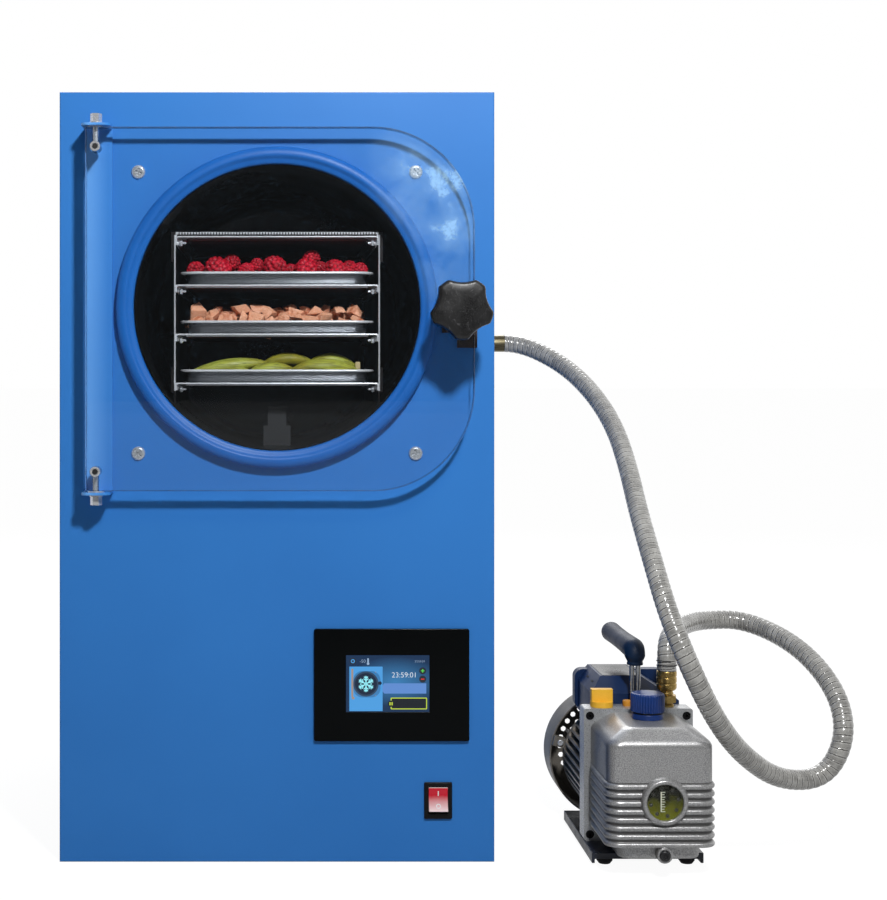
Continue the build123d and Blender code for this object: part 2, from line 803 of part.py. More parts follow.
with BuildPart() as hinge_bolts:
    for edge_z, outward in ((door_top, 1), (door_bottom, -1)):
        nut_z = edge_z - outward * barrel_nut_drop
        seat_z = edge_z + outward * (tab_gap + bracket_thickness + seal_gap)
        with BuildSketch(Plane.XY.offset(nut_z)):
            with Locations((hinge_x, door_mid_y)):
                Circle(bolt_radius)
        extrude(amount=seat_z - nut_z)
        with BuildSketch(Plane.XY.offset(seat_z)):
            with Locations((hinge_x, door_mid_y)):
                Circle(bolt_washer_radius)
        extrude(amount=outward * washer_thickness)
        with BuildSketch(Plane.XY.offset(seat_z + outward * washer_thickness)):
            with Locations((hinge_x, door_mid_y)):
                RegularPolygon(bolt_head_flats / 2, 6, major_radius=False)
        extrude(amount=outward * bolt_head_height)
        with BuildSketch(front_plane(door_back_y - 1)):
            with Locations((hinge_x, nut_z)):
                Circle(barrel_nut_radius)
        extrude(amount=door_thickness - 2)
hinge_bolts.part.label = "hinge_bolts"
export_step(hinge_bolts.part, "parts/hinge_bolts.step")

with BuildPart() as panel_screws:
    for place in panel_screw_places:
        with BuildSketch(front_plane(front_y)):
            with Locations(place):
                Circle(panel_screw_head_radius)
        extrude(amount=3.0)
        with BuildSketch(front_plane(front_y)):
            with Locations(place):
                Circle(panel_screw_radius)
        extrude(amount=-(panel_thickness + flange_plate_thickness + 2))
    fillet(panel_screws.faces().group_by(Axis.Y)[0].edges(), 1.8)
panel_screws.part.label = "panel_screws"
export_step(panel_screws.part, "parts/panel_screws.step")

latch_low = clamp_z - latch_down_reach
latch_high = clamp_z + latch_up_reach
latch_screw_places = [((latch_left + latch_right) / 2 - 2, latch_low + latch_screw_inset),
                      ((latch_left + latch_right) / 2 - 2, latch_high - latch_screw_inset)]
with BuildPart() as latch_bracket:
    with BuildSketch(front_plane(front_y)):
        block(latch_left, latch_right, latch_low, latch_high)
        block(latch_pad_left, latch_right, clamp_z - latch_pad_half_height,
              clamp_z + latch_pad_half_height)
    extrude(amount=latch_plate_thickness)
    with BuildSketch(front_plane(front_y)):
        with Locations((clamp_x, clamp_z)):
            Circle(latch_boss_radius)
    extrude(amount=latch_boss_height)
    with BuildSketch(front_plane(front_y)):
        block(latch_right - bracket_thickness, latch_right, latch_low, latch_high)
    extrude(amount=latch_flange_depth)
    with BuildSketch(front_plane(front_y)):
        with Locations((clamp_x, clamp_z)):
            Circle(stud_radius + thread_gap)
    extrude(amount=latch_boss_height, mode=Mode.SUBTRACT)
    # button-head screws that hold it to the panel
    with BuildSketch(front_plane(front_y - latch_plate_thickness)):
        with Locations(*latch_screw_places):
            Circle(latch_screw_head_radius)
    extrude(amount=2.2)
latch_bracket.part.label = "latch_bracket"
export_step(latch_bracket.part, "parts/latch_bracket.step")

stud_tip_y = front_y - latch_boss_height - seal_gap
clamp_washer_y = door_front_y - seal_gap - clamp_travel
knob_back_y = clamp_washer_y - clamp_washer_thickness - seal_gap
with BuildPart() as clamp_washer:
    with BuildSketch(front_plane(clamp_washer_y)):
        with Locations((clamp_x, clamp_z)):
            Circle(clamp_washer_radius)
            Circle(stud_radius + thread_gap, mode=Mode.SUBTRACT)
    extrude(amount=clamp_washer_thickness)
clamp_washer.part.label = "clamp_washer"
export_step(clamp_washer.part, "parts/clamp_washer.step")

stud_seat_y = knob_back_y - 13.0
with BuildPart() as clamp_stud:
    with BuildSketch(front_plane(stud_tip_y)):
        with Locations((clamp_x, clamp_z)):
            Circle(stud_radius)
    extrude(amount=stud_tip_y - stud_seat_y)
    chamfer(clamp_stud.faces().sort_by(Axis.Y)[-1].edges(), 0.8)
clamp_stud.part.label = "clamp_stud"
export_step(clamp_stud.part, "parts/clamp_stud.step")

with BuildPart() as clamp_knob:
    with BuildSketch(front_plane(knob_back_y - knob_hub_height)) as star:
        with Locations((clamp_x, clamp_z)):
            Circle(knob_radius)
            with PolarLocations(knob_waist + knob_waist_radius, knob_lobes,
                                start_angle=180 / knob_lobes - 90):
                Circle(knob_waist_radius, mode=Mode.SUBTRACT)
        fillet(star.vertices(), knob_lobe_round)
    extrude(amount=knob_thickness)
    fillet(clamp_knob.faces().sort_by(Axis.Y)[0].edges(), knob_edge_round)
    fillet(clamp_knob.faces().sort_by(Axis.Y)[-1].edges(), knob_edge_round / 2)
    with BuildSketch(front_plane(knob_back_y)):
        with Locations((clamp_x, clamp_z)):
            Circle(knob_hub_radius)
    extrude(amount=knob_hub_height + knob_edge_round)
    with BuildSketch(front_plane(knob_back_y)):
        with Locations((clamp_x, clamp_z)):
            Circle(stud_radius + thread_gap)
    extrude(amount=knob_back_y - stud_seat_y, mode=Mode.SUBTRACT)
clamp_knob.part.label = "clamp_knob"
export_step(clamp_knob.part, "parts/clamp_knob.step")

# ================================================================ display and switch
display_body_width = display_width - 2 * display_frame_margin
display_body_height = display_height - 2 * display_frame_margin
display_back_y = front_y + display_body_depth
with BuildPart() as display_module:
    with BuildSketch(front_plane(front_y)):
        with Locations((display_x, display_z)):
            RectangleRounded(display_width, display_height, 2.0)
    extrude(amount=display_bezel_depth)
    with BuildSketch(front_plane(front_y)):
        with Locations((display_x, display_z)):
            Rectangle(display_body_width, display_body_height)
    extrude(amount=-display_body_depth)
    with BuildSketch(front_plane(front_y - display_bezel_depth)):
        with Locations((display_x + window_x_shift, display_z + window_z_shift)):
            Rectangle(window_width, window_height)
    extrude(amount=-window_recess, mode=Mode.SUBTRACT)
    fillet(display_module.faces().sort_by(Axis.Y)[0].outer_wire().edges(), 0.8)
display_module.part.label = "display_module"
export_step(display_module.part, "parts/display_module.step")

with BuildPart() as controller_board:
    with BuildSketch(front_plane(display_back_y + board_gap)):
        with Locations((display_x, display_z)):
            Rectangle(board_width, board_height)
    extrude(amount=-board_thickness)
    with BuildSketch(front_plane(display_back_y)):
        with Locations((display_x, display_z)):
            with GridLocations(board_width - 12, board_height - 12, 2, 2):
                Circle(3)
    extrude(amount=-board_gap)
    board_back_y = display_back_y + board_gap + board_thickness
    with BuildSketch(front_plane(board_back_y)):
        with Locations((display_x - 32, display_z + 14)):
            Rectangle(26, 26)
        with Locations((display_x + 34, display_z - 12)):
            Rectangle(30, 40)
    extrude(amount=-15)
    with BuildSketch(front_plane(board_back_y)):
        with Locations((display_x - 30, display_z - 26)):
            with GridLocations(13, 0, 3, 1):
                Circle(5)
    extrude(amount=-22)
controller_board.part.label = "controller_board"
export_step(controller_board.part, "parts/controller_board.step")

pocket_half_height = rocker_half_height + rocker_end_gap
pocket_half_width = rocker_width / 2 + rocker_side_gap
with BuildPart() as switch_housing:
    with BuildSketch(front_plane(front_y)):
        with Locations((switch_x, switch_z)):
            RectangleRounded(switch_bezel_width, switch_bezel_height, 1.5)
    extrude(amount=switch_bezel_depth)
    with BuildSketch(front_plane(front_y)):
        with Locations((switch_x, switch_z)):
            Rectangle(switch_body_width, switch_body_height)
    extrude(amount=-switch_body_depth)
    fillet(switch_housing.faces().sort_by(Axis.Y)[0].outer_wire().edges(), 0.8)
    with BuildSketch(front_plane(front_y - switch_bezel_depth)):
        with Locations((switch_x, switch_z)):
            Rectangle(2 * pocket_half_width, 2 * pocket_half_height)
    extrude(amount=-(switch_bezel_depth + rocker_pocket_depth), mode=Mode.SUBTRACT)
    with BuildSketch(side_plane(switch_x)):
        with Locations((front_y + rocker_pivot_depth, switch_z)):
            Circle(rocker_pin_radius + running_gap)
    extrude(amount=pocket_half_width + rocker_pin_length, both=True, mode=Mode.SUBTRACT)
    with BuildSketch(front_plane(front_y + switch_body_depth)):
        with Locations((switch_x, switch_z)):
            with GridLocations(12, 12, 2, 2):
                Rectangle(0.8, 4.8)
    extrude(amount=-8)
switch_housing.part.label = "switch_housing"
export_step(switch_housing.part, "parts/switch_housing.step")

# the rocker is drawn along its own outward and upward lines, leaning as it does when on
rocker_plane = Plane((switch_x, front_y + rocker_pivot_depth, switch_z),
                     x_dir=(0, -cos(radians(rocker_tilt)), sin(radians(rocker_tilt))),
                     z_dir=(-1, 0, 0))
with BuildPart() as power_rocker:
    with BuildSketch(rocker_plane):
        Polygon((8.5, rocker_half_height), (0, rocker_half_height), (-7, 5), (-7, -5),
                (0, -rocker_half_height), (8.5, -rocker_half_height), (6.0, 0), align=None)
    extrude(amount=rocker_width / 2, both=True)
    with BuildSketch(side_plane(switch_x)):
        with Locations((front_y + rocker_pivot_depth, switch_z)):
            Circle(rocker_pin_radius)
    extrude(amount=rocker_width / 2 + rocker_side_gap + rocker_pin_length - 0.1, both=True)
power_rocker.part.label = "power_rocker"
export_step(power_rocker.part, "parts/power_rocker.step")

# ================================================================ cooling and electrics
condenser_back_y = back_y - sheet_thickness - condenser_rear_gap
condenser_front_y = condenser_back_y - condenser_thickness
condenser_z = condenser_bottom + condenser_height / 2
with BuildPart() as condenser_block:
    with BuildSketch(front_plane(condenser_back_y)):
        with Locations((condenser_x, condenser_z)):
            with GridLocations(condenser_width / 24, 0, 25, 1):
                Rectangle(1.2, condenser_height)
            with GridLocations(0, condenser_height / 7, 1, 7):
                Rectangle(condenser_width, 8)
    extrude(amount=condenser_thickness)
    # feet that stand on the base pan
    with BuildSketch(Plane.XY.offset(sheet_thickness)):
        with Locations((condenser_x, condenser_back_y - condenser_thickness / 2)):
            with GridLocations(condenser_width - 30, 0, 2, 1):
                Rectangle(20, condenser_thickness)
    extrude(amount=condenser_bottom - sheet_thickness + 12)
condenser_block.part.label = "condenser_block"
export_step(condenser_block.part, "parts/condenser_block.step")

shroud_front_y = condenser_front_y - shroud_thickness
fan_front_y = shroud_front_y - fan_depth - 6
with BuildPart() as fan_shroud:
    with BuildSketch(front_plane(condenser_front_y)):
        with Locations((condenser_x, condenser_z)):
            Rectangle(condenser_width, condenser_height)
            Circle(shroud_opening_radius, mode=Mode.SUBTRACT)
    extrude(amount=shroud_thickness)
    with BuildSketch(front_plane(shroud_front_y)):
        with Locations((condenser_x, condenser_z)):
            Circle(shroud_opening_radius + shroud_thickness)
            Circle(shroud_opening_radius, mode=Mode.SUBTRACT)
    extrude(amount=shroud_lip)
    # arms and can of the fan motor
    with BuildSketch(front_plane(fan_front_y - 2)):
        with Locations((condenser_x, condenser_z)):
            Rectangle(2 * shroud_opening_radius + 30, 12)
            Circle(fan_motor_radius)
    extrude(amount=4)
    with BuildSketch(front_plane(fan_front_y - 2)):
        with Locations((condenser_x, condenser_z)):
            with GridLocations(2 * shroud_opening_radius + 22, 0, 2, 1):
                Rectangle(8, 12)
    extrude(amount=-(shroud_front_y - fan_front_y + 2))
    with BuildSketch(front_plane(fan_front_y - 2)):
        with Locations((condenser_x, condenser_z)):
            Circle(fan_motor_radius)
    extrude(amount=fan_motor_length)
    with BuildSketch(front_plane(fan_front_y - 2)):
        with Locations((condenser_x, condenser_z)):
            Circle(fan_shaft_radius + running_gap)
    extrude(amount=fan_motor_length - 8, mode=Mode.SUBTRACT)
fan_shroud.part.label = "fan_shroud"
export_step(fan_shroud.part, "parts/fan_shroud.step")

with BuildPart() as condenser_fan:
    with BuildSketch(front_plane(fan_front_y + fan_depth)):
        with Locations((condenser_x, condenser_z)):
            Circle(fan_hub_radius)
    extrude(amount=fan_depth - 2)
    with BuildSketch(front_plane(fan_front_y + fan_depth - 3)):
        with Locations((condenser_x, condenser_z)):
            with PolarLocations((fan_hub_radius + fan_radius) / 2 - 2, fan_blades):
                SlotOverall(fan_radius - fan_hub_radius + 4, 40)
    extrude(amount=2.5)
    with BuildSketch(front_plane(fan_front_y + fan_depth)):
        with Locations((condenser_x, condenser_z)):
            Circle(fan_shaft_radius)
    extrude(amount=fan_depth + fan_motor_length - 14)
condenser_fan.part.label = "condenser_fan"
export_step(condenser_fan.part, "parts/condenser_fan.step")

with BuildPart() as compressor:
    with BuildSketch(Plane.XZ.offset(-compressor_y)):
        with BuildLine():
            dome_base = compressor_foot_height
            dome_top = compressor_foot_height + compressor_height
            FilletPolyline((compressor_x, dome_base),
                           (compressor_x + compressor_radius, dome_base),
                           (compressor_x + compressor_radius, dome_top),
                           (compressor_x, dome_top), radius=32)
            Line((compressor_x, dome_top), (compressor_x, dome_base))
        make_face()
    revolve(axis=z_axis(compressor_x, compressor_y))
    with BuildSketch(Plane.XY.offset(compressor_foot_height - 6)):
        with Locations((compressor_x, compressor_y)):
            RectangleRounded(compressor_plate, compressor_plate, 18)
    extrude(amount=8)
    with BuildSketch(Plane.XY.offset(sheet_thickness)):
        with Locations((compressor_x, compressor_y)):
            with GridLocations(compressor_plate - 36, compressor_plate - 36, 2, 2):
                Circle(12)
    extrude(amount=compressor_foot_height - 6 - sheet_thickness)
compressor.part.label = "compressor"
export_step(compressor.part, "parts/compressor.step")

with BuildPart() as power_supply:
    with BuildSketch(Plane.XY.offset(sheet_thickness)):
        with Locations((supply_x, supply_y)):
            Rectangle(supply_width, supply_length)
    extrude(amount=supply_height)
    with BuildSketch(Plane.XY.offset(sheet_thickness + supply_height)):
        with Locations((supply_x, supply_y)):
            with GridLocations(12, 12, 9, 6):
                RegularPolygon(3.5, 6)
    extrude(amount=-2, mode=Mode.SUBTRACT)
power_supply.part.label = "power_supply"
export_step(power_supply.part, "parts/power_supply.step")

with BuildPart() as power_inlet:
    with BuildSketch(front_plane(back_y)):
        with Locations((inlet_x, inlet_z)):
            RectangleRounded(48, 30, 4)
    extrude(amount=-2.5)
    with BuildSketch(front_plane(back_y)):
        with Locations((inlet_x, inlet_z)):
            Rectangle(27.5, 21.5)
    extrude(amount=22)
    with BuildSketch(front_plane(back_y + 2.5)):
        with Locations((inlet_x, inlet_z)):
            RectangleRounded(24, 16.5, 2.5)
    extrude(amount=19, mode=Mode.SUBTRACT)
    with BuildSketch(front_plane(back_y - 16.5)):
        with Locations((inlet_x, inlet_z - 2)):
            with GridLocations(14, 0, 2, 1):
                Rectangle(2, 4)
        with Locations((inlet_x, inlet_z + 2)):
            Rectangle(2, 4)
    extrude(amount=-13)
power_inlet.part.label = "power_inlet"
export_step(power_inlet.part, "parts/power_inlet.step")

# ================================================================ vacuum port
chamber_side_x = sqrt(chamber_outer**2 - (port_z - chamber_z)**2)
with BuildPart() as vacuum_port:
    with BuildSketch(side_plane(chamber_side_x - chamber_wall)):
        with Locations((port_y, port_z)):
            Circle(port_tube_radius)
    extrude(amount=port_end_x - chamber_side_x + chamber_wall)
    with BuildSketch(side_plane(right_x)):
        with Locations((port_y, port_z)):
            RegularPolygon(port_nut_flats / 2, 6, major_radius=False)
    extrude(amount=port_nut_length)
    with BuildSketch(side_plane(right_x + port_nut_length)):
        with Locations((port_y, port_z)):
            Circle(collar_radius)
    extrude(amount=port_reach - port_nut_length)
    with BuildSketch(side_plane(0)):
        with Locations((port_y, port_z)):
            Circle(port_bore_radius)
    extrude(amount=port_end_x, mode=Mode.SUBTRACT)
vacuum_port.part.label = "vacuum_port"
export_step(vacuum_port.part, "parts/vacuum_port.step")

# ================================================================ vacuum pump
base_front_y = pump_flange_y + pump_base_front
base_back_y = base_front_y + pump_base_length
pump_left = pump_x - pump_half_width
pump_right = pump_x + pump_half_width
with BuildPart() as pump_base:
    with BuildSketch(Plane.XY.offset(pump_base_top)):
        block(pump_left, pump_right, base_front_y, base_back_y)
    extrude(amount=-pump_base_flange)
    with BuildSketch(Plane.XY.offset(pump_base_top - pump_base_sheet)):
        block(pump_left + pump_base_sheet, pump_right - pump_base_sheet,
              base_front_y + pump_base_sheet, base_back_y - pump_base_sheet)
    extrude(amount=-pump_base_flange, mode=Mode.SUBTRACT)
    for lip_y in (base_front_y, base_back_y - pump_base_sheet):
        with BuildSketch(Plane.XY.offset(pump_base_top - pump_base_lip)):
            block(pump_left + pump_base_sheet, pump_right - pump_base_sheet,
                  lip_y, lip_y + pump_base_sheet)
        extrude(amount=-pump_base_flange, mode=Mode.SUBTRACT)
pump_base.part.label = "pump_base"
export_step(pump_base.part, "parts/pump_base.step")

foot_height = pump_base_top - pump_base_sheet
with BuildPart() as pump_feet:
    for foot_x in (pump_left + pump_foot_inset_x, pump_right - pump_foot_inset_x):
        for foot_y in (base_front_y + pump_foot_inset_y, base_back_y - pump_foot_inset_y):
            with BuildSketch(Plane.XZ.offset(-foot_y)):
                Polygon((foot_x, 0), (foot_x + 0.72 * pump_foot_radius, 0),
                        (foot_x + pump_foot_radius, 0.3 * foot_height),
                        (foot_x + pump_foot_radius, foot_height), (foot_x, foot_height),
                        align=None)
            revolve(axis=z_axis(foot_x, foot_y))
pump_feet.part.label = "pump_feet"
export_step(pump_feet.part, "parts/pump_feet.step")

flange_screw_places = [
    (pump_x + side * (pump_half_width - flange_screw_inset_x), height)
    for side in (-1, 1)
    for height in (pump_base_top + flange_screw_inset_bottom, flange_top - flange_screw_inset_top)]
handle_y = pump_flange_y + handle_depth
fitting_x = pump_x + fitting_x_shift
fitting_y = pump_flange_y + fitting_depth
plug_x = pump_x + plug_x_shift
rod_places = [(pump_x + side * handle_rod_spacing / 2, handle_y) for side in (-1, 1)]
with BuildPart() as pump_flange:
    with BuildSketch(front_plane(pump_flange_y)):
        with Locations((pump_x, pump_base_top + pump_flange_height / 2)):
            RectangleRounded(2 * pump_half_width, pump_flange_height, pump_flange_round)
    extrude(amount=-pump_flange_thickness)
    with BuildSketch(front_plane(pump_flange_y)):
        with Locations(*flange_screw_places):
            Circle(flange_screw_radius + fit_gap)
    extrude(amount=-flange_screw_recess, mode=Mode.SUBTRACT)
    with BuildSketch(front_plane(pump_flange_y)):
        with Locations((pump_x, motor_axis_z)):
            Circle(shaft_radius + running_gap)
    extrude(amount=-pump_flange_thickness, mode=Mode.SUBTRACT)
    with BuildSketch(Plane.XY.offset(flange_top)):
        with Locations(*rod_places):
            Circle(handle_rod_radius)
    extrude(amount=-handle_rod_seat, mode=Mode.SUBTRACT)
    with BuildSketch(Plane.XY.offset(flange_top)):
        with Locations((plug_x, fitting_y)):
            Circle(plug_stem_radius + plug_stem_gap)
    extrude(amount=-(plug_stem_length + 2), mode=Mode.SUBTRACT)
    with BuildSketch(Plane.XY.offset(flange_top)):
        with Locations((fitting_x, fitting_y)):
            Circle(fitting_bore_radius)
    extrude(amount=-20, mode=Mode.SUBTRACT)
pump_flange.part.label = "pump_flange"
export_step(pump_flange.part, "parts/pump_flange.step")

with BuildPart() as flange_screws:
    for place in flange_screw_places:
        with BuildSketch(front_plane(pump_flange_y + flange_screw_recess)):
            with Locations(place):
                Circle(flange_screw_radius)
        extrude(amount=flange_screw_recess - 0.6)
        with BuildSketch(front_plane(pump_flange_y + 0.6)):
            with Locations(place):
                RegularPolygon(2.0, 6)
        extrude(amount=-3, mode=Mode.SUBTRACT)
flange_screws.part.label = "flange_screws"
export_step(flange_screws.part, "parts/flange_screws.step")

tank_x = pump_x + tank_x_shift
glass_x = pump_x + glass_x_shift
foot_front_y = tank_front_y + tank_foot_setback
foot_top_z = tank_bottom + tank_foot_height
filler_x = pump_x + filler_x_shift
filler_y = pump_flange_y - filler_depth
with BuildPart() as oil_tank:
    # front view: flat sides, sloped shoulders, level plateau
    with BuildSketch(front_plane(pump_flange_y)):
        Polygon((tank_x - tank_half_width, foot_top_z), (tank_x + tank_half_width, foot_top_z),
                (tank_x + tank_half_width, tank_shoulder),
                (tank_x + tank_plateau_half_width, tank_top),
                (tank_x - tank_plateau_half_width, tank_top),
                (tank_x - tank_half_width, tank_shoulder), align=None)
    extrude(amount=tank_length)
    # side view: the plateau slopes down to the front face
    with BuildSketch(side_plane(tank_x)):
        Polygon((pump_flange_y, foot_top_z), (tank_front_y, foot_top_z),
                (tank_front_y, tank_shoulder), (tank_front_y + tank_front_slope, tank_top),
                (pump_flange_y, tank_top), align=None)
    extrude(amount=tank_half_width, both=True, mode=Mode.INTERSECT)
    fillet(oil_tank.edges().filter_by(Axis.Z).group_by(Axis.Y)[0], tank_round)
    # ribs round the lower part
    for rib in range(rib_count):
        with BuildSketch(Plane.XY.offset(rib_first_z + rib * rib_pitch - rib_thickness / 2)):
            with BuildLine():
                reach = tank_half_width + rib_height
                rib_line = FilletPolyline(
                    (tank_x - reach, pump_flange_y - rib_end_gap),
                    (tank_x - reach, tank_front_y - rib_height),
                    (tank_x + reach, tank_front_y - rib_height),
                    (tank_x + reach, pump_flange_y - rib_end_gap),
                    radius=tank_round + rib_height)
                Line(rib_line @ 1, rib_line @ 0)
            make_face()
        extrude(amount=rib_thickness)
    # narrower foot
    with BuildSketch(Plane.XY.offset(tank_bottom)):
        with BuildLine():
            foot_line = FilletPolyline((tank_x - tank_foot_half_width, pump_flange_y),
                                       (tank_x - tank_foot_half_width, foot_front_y),
                                       (tank_x + tank_foot_half_width, foot_front_y),
                                       (tank_x + tank_foot_half_width, pump_flange_y),
                                       radius=tank_round)
            Line(foot_line @ 1, foot_line @ 0)
        make_face()
    extrude(amount=tank_foot_height + 1)
    # bosses for the sight glass, the drain and the filler
    with BuildSketch(front_plane(tank_front_y)):
        with Locations((glass_x, glass_z)):
            Circle(glass_ring_radius)
    extrude(amount=glass_ring_height)
    with BuildSketch(front_plane(foot_front_y + 2)):
        with Locations((glass_x, drain_z)):
            Circle(drain_boss_radius)
    extrude(amount=tank_foot_setback + 2 + drain_boss_height)
    # oil space
    with BuildSketch(front_plane(pump_flange_y)):
        with Locations((tank_x, (foot_top_z + tank_shoulder) / 2)):
            Rectangle(2 * (tank_half_width - tank_wall), tank_shoulder - foot_top_z - tank_wall)
    extrude(amount=tank_length - tank_wall, mode=Mode.SUBTRACT)
    with BuildSketch(front_plane(tank_front_y - glass_ring_height)):
        with Locations((glass_x, glass_z)):
            Circle(glass_radius + fit_gap)
    extrude(amount=-(glass_thickness + glass_recess), mode=Mode.SUBTRACT)
    with BuildSketch(front_plane(tank_front_y - glass_ring_height)):
        with Locations((glass_x, glass_z)):
            Circle(glass_radius - 3)
    extrude(amount=-(glass_ring_height + tank_wall), mode=Mode.SUBTRACT)
    with BuildSketch(front_plane(tank_front_y - drain_boss_height)):
        with Locations((glass_x, drain_z)):
            Circle(drain_thread_radius + fit_gap)
    extrude(amount=-(drain_thread_length + 3), mode=Mode.SUBTRACT)
    with BuildSketch(Plane.XY.offset(tank_top)):
        with Locations((filler_x, filler_y)):
            Circle(filler_bore_radius)
    extrude(amount=-(tank_top - tank_shoulder + tank_wall), mode=Mode.SUBTRACT)
oil_tank.part.label = "oil_tank"
export_step(oil_tank.part, "parts/oil_tank.step")

with BuildPart() as sight_glass:
    with BuildSketch(front_plane(tank_front_y - glass_ring_height + glass_recess)):
        with Locations((glass_x, glass_z)):
            Circle(glass_radius)
    extrude(amount=-glass_thickness)
sight_glass.part.label = "sight_glass"
export_step(sight_glass.part, "parts/sight_glass.step")

drain_face_y = tank_front_y - drain_boss_height
with BuildPart() as drain_plug:
    with BuildSketch(front_plane(drain_face_y)):
        with Locations((glass_x, drain_z)):
            Circle(drain_plug_radius)
    extrude(amount=drain_plug_head)
    with BuildSketch(front_plane(drain_face_y)):
        with Locations((glass_x, drain_z)):
            Circle(drain_thread_radius)
    extrude(amount=-drain_thread_length)
    with BuildSketch(front_plane(drain_face_y - drain_plug_head)):
        with Locations((glass_x, drain_z)):
            RegularPolygon(3.4, 6)
    extrude(amount=-4, mode=Mode.SUBTRACT)
drain_plug.part.label = "drain_plug"
export_step(drain_plug.part, "parts/drain_plug.step")

collar_top = tank_top + filler_collar_height
cap_bottom = collar_top + cap_seal_height
with BuildPart() as filler_neck:
    with BuildSketch(Plane.XY.offset(tank_top)):
        with Locations((filler_x, filler_y)):
            Circle(filler_collar_radius)
    extrude(amount=filler_collar_height)
    with BuildSketch(Plane.XY.offset(tank_top)):
        with Locations((filler_x, filler_y)):
            Circle(filler_neck_radius)
    extrude(amount=filler_neck_height)
    with BuildSketch(Plane.XY.offset(tank_top)):
        with Locations((filler_x, filler_y)):
            Circle(filler_bore_radius)
    extrude(amount=filler_neck_height, mode=Mode.SUBTRACT)
filler_neck.part.label = "filler_neck"
export_step(filler_neck.part, "parts/filler_neck.step")

with BuildPart() as oil_cap_seal:
    with BuildSketch(Plane.XY.offset(collar_top + 0.1)):
        with Locations((filler_x, filler_y)):
            Circle(filler_collar_radius - 1.6)
            Circle(filler_neck_radius + cap_thread_gap, mode=Mode.SUBTRACT)
    extrude(amount=cap_seal_height - 0.2)
oil_cap_seal.part.label = "oil_cap_seal"
export_step(oil_cap_seal.part, "parts/oil_cap_seal.step")

with BuildPart() as oil_cap:
    with BuildSketch(Plane.XY.offset(cap_bottom)):
        with Locations((filler_x, filler_y)):
            Circle(cap_radius)
            with PolarLocations(cap_radius + 0.2, cap_flutes):
                Circle(cap_flute_radius, mode=Mode.SUBTRACT)
    extrude(amount=cap_height - 2)
    with BuildSketch(Plane.XY.offset(cap_bottom + cap_height - 2)):
        with Locations((filler_x, filler_y)):
            Circle(cap_radius)
    extrude(amount=2, taper=35)
    with BuildSketch(Plane.XY.offset(cap_bottom)):
        with Locations((filler_x, filler_y)):
            Circle(filler_neck_radius + cap_thread_gap)
    extrude(amount=cap_height - cap_top_thickness, mode=Mode.SUBTRACT)
oil_cap.part.label = "oil_cap"
export_step(oil_cap.part, "parts/oil_cap.step")

with BuildPart() as exhaust_plug:
    with BuildSketch(Plane.XY.offset(flange_top)):
        with Locations((plug_x, fitting_y)):
            Circle(plug_base_radius)
    extrude(amount=plug_base_height)
    with BuildSketch(Plane.XY.offset(flange_top + plug_base_height)):
        with Locations((plug_x, fitting_y)):
            RectangleRounded(plug_wing_width, plug_wing_thickness, 1.2)
    extrude(amount=plug_wing_height)
    with BuildSketch(Plane.XY.offset(flange_top)):
        with Locations((plug_x, fitting_y)):
            Circle(plug_stem_radius)
    extrude(amount=-plug_stem_length)
exhaust_plug.part.label = "exhaust_plug"
export_step(exhaust_plug.part, "parts/exhaust_plug.step")

ferrule_height = fitting_top - ferrule_bottom
with BuildPart() as inlet_fitting:
    with BuildSketch(Plane.XZ.offset(-fitting_y)):
        Polygon((fitting_x + fitting_bore_radius, flange_top),
                (fitting_x + 8.5, flange_top), (fitting_x + 8.5, flange_top + 1.6),
                (fitting_x + 6.8, flange_top + 1.6), (fitting_x + 6.8, ferrule_bottom - 1.5),
                (fitting_x + ferrule_radius, ferrule_bottom),
                (fitting_x + ferrule_radius, ferrule_bottom + 0.6 * ferrule_height),
                (fitting_x + ferrule_radius - 0.7, fitting_top),
                (fitting_x + fitting_bore_radius, fitting_top), align=None)
    revolve(axis=z_axis(fitting_x, fitting_y))
    with BuildSketch(Plane.XY.offset(flange_top + 6.5)):
        with Locations((fitting_x, fitting_y)):
            RegularPolygon(fitting_nut_flats / 2, 6, major_radius=False)
            Circle(fitting_bore_radius, mode=Mode.SUBTRACT)
    extrude(amount=6.5)
inlet_fitting.part.label = "inlet_fitting"
export_step(inlet_fitting.part, "parts/inlet_fitting.step")

motor_chamber_start = motor_front_y + 12
motor_chamber_length = motor_length - 12 - motor_end_thickness
with BuildPart() as motor_housing:
    with BuildSketch(front_plane(motor_front_y)):
        with Locations((pump_x, motor_axis_z)):
            Circle(motor_core_radius)
            with PolarLocations((motor_core_radius + motor_fin_radius) / 2 - 1, motor_fin_count):
                Rectangle(motor_fin_radius - motor_core_radius + 2, motor_fin_thickness)
    extrude(amount=-motor_length)
    with BuildSketch(front_plane(motor_back_y)):
        with Locations((pump_x, motor_axis_z)):
            Circle(motor_fin_radius)
    extrude(amount=motor_end_thickness)
    with BuildSketch(front_plane(motor_chamber_start)):
        with Locations((pump_x, motor_axis_z)):
            Circle(motor_bore_radius)
    extrude(amount=-motor_chamber_length, mode=Mode.SUBTRACT)
    with BuildSketch(front_plane(motor_front_y)):
        with Locations((pump_x, motor_axis_z)):
            Circle(shaft_radius + running_gap)
    extrude(amount=-motor_length, mode=Mode.SUBTRACT)
motor_housing.part.label = "motor_housing"
export_step(motor_housing.part, "parts/motor_housing.step")

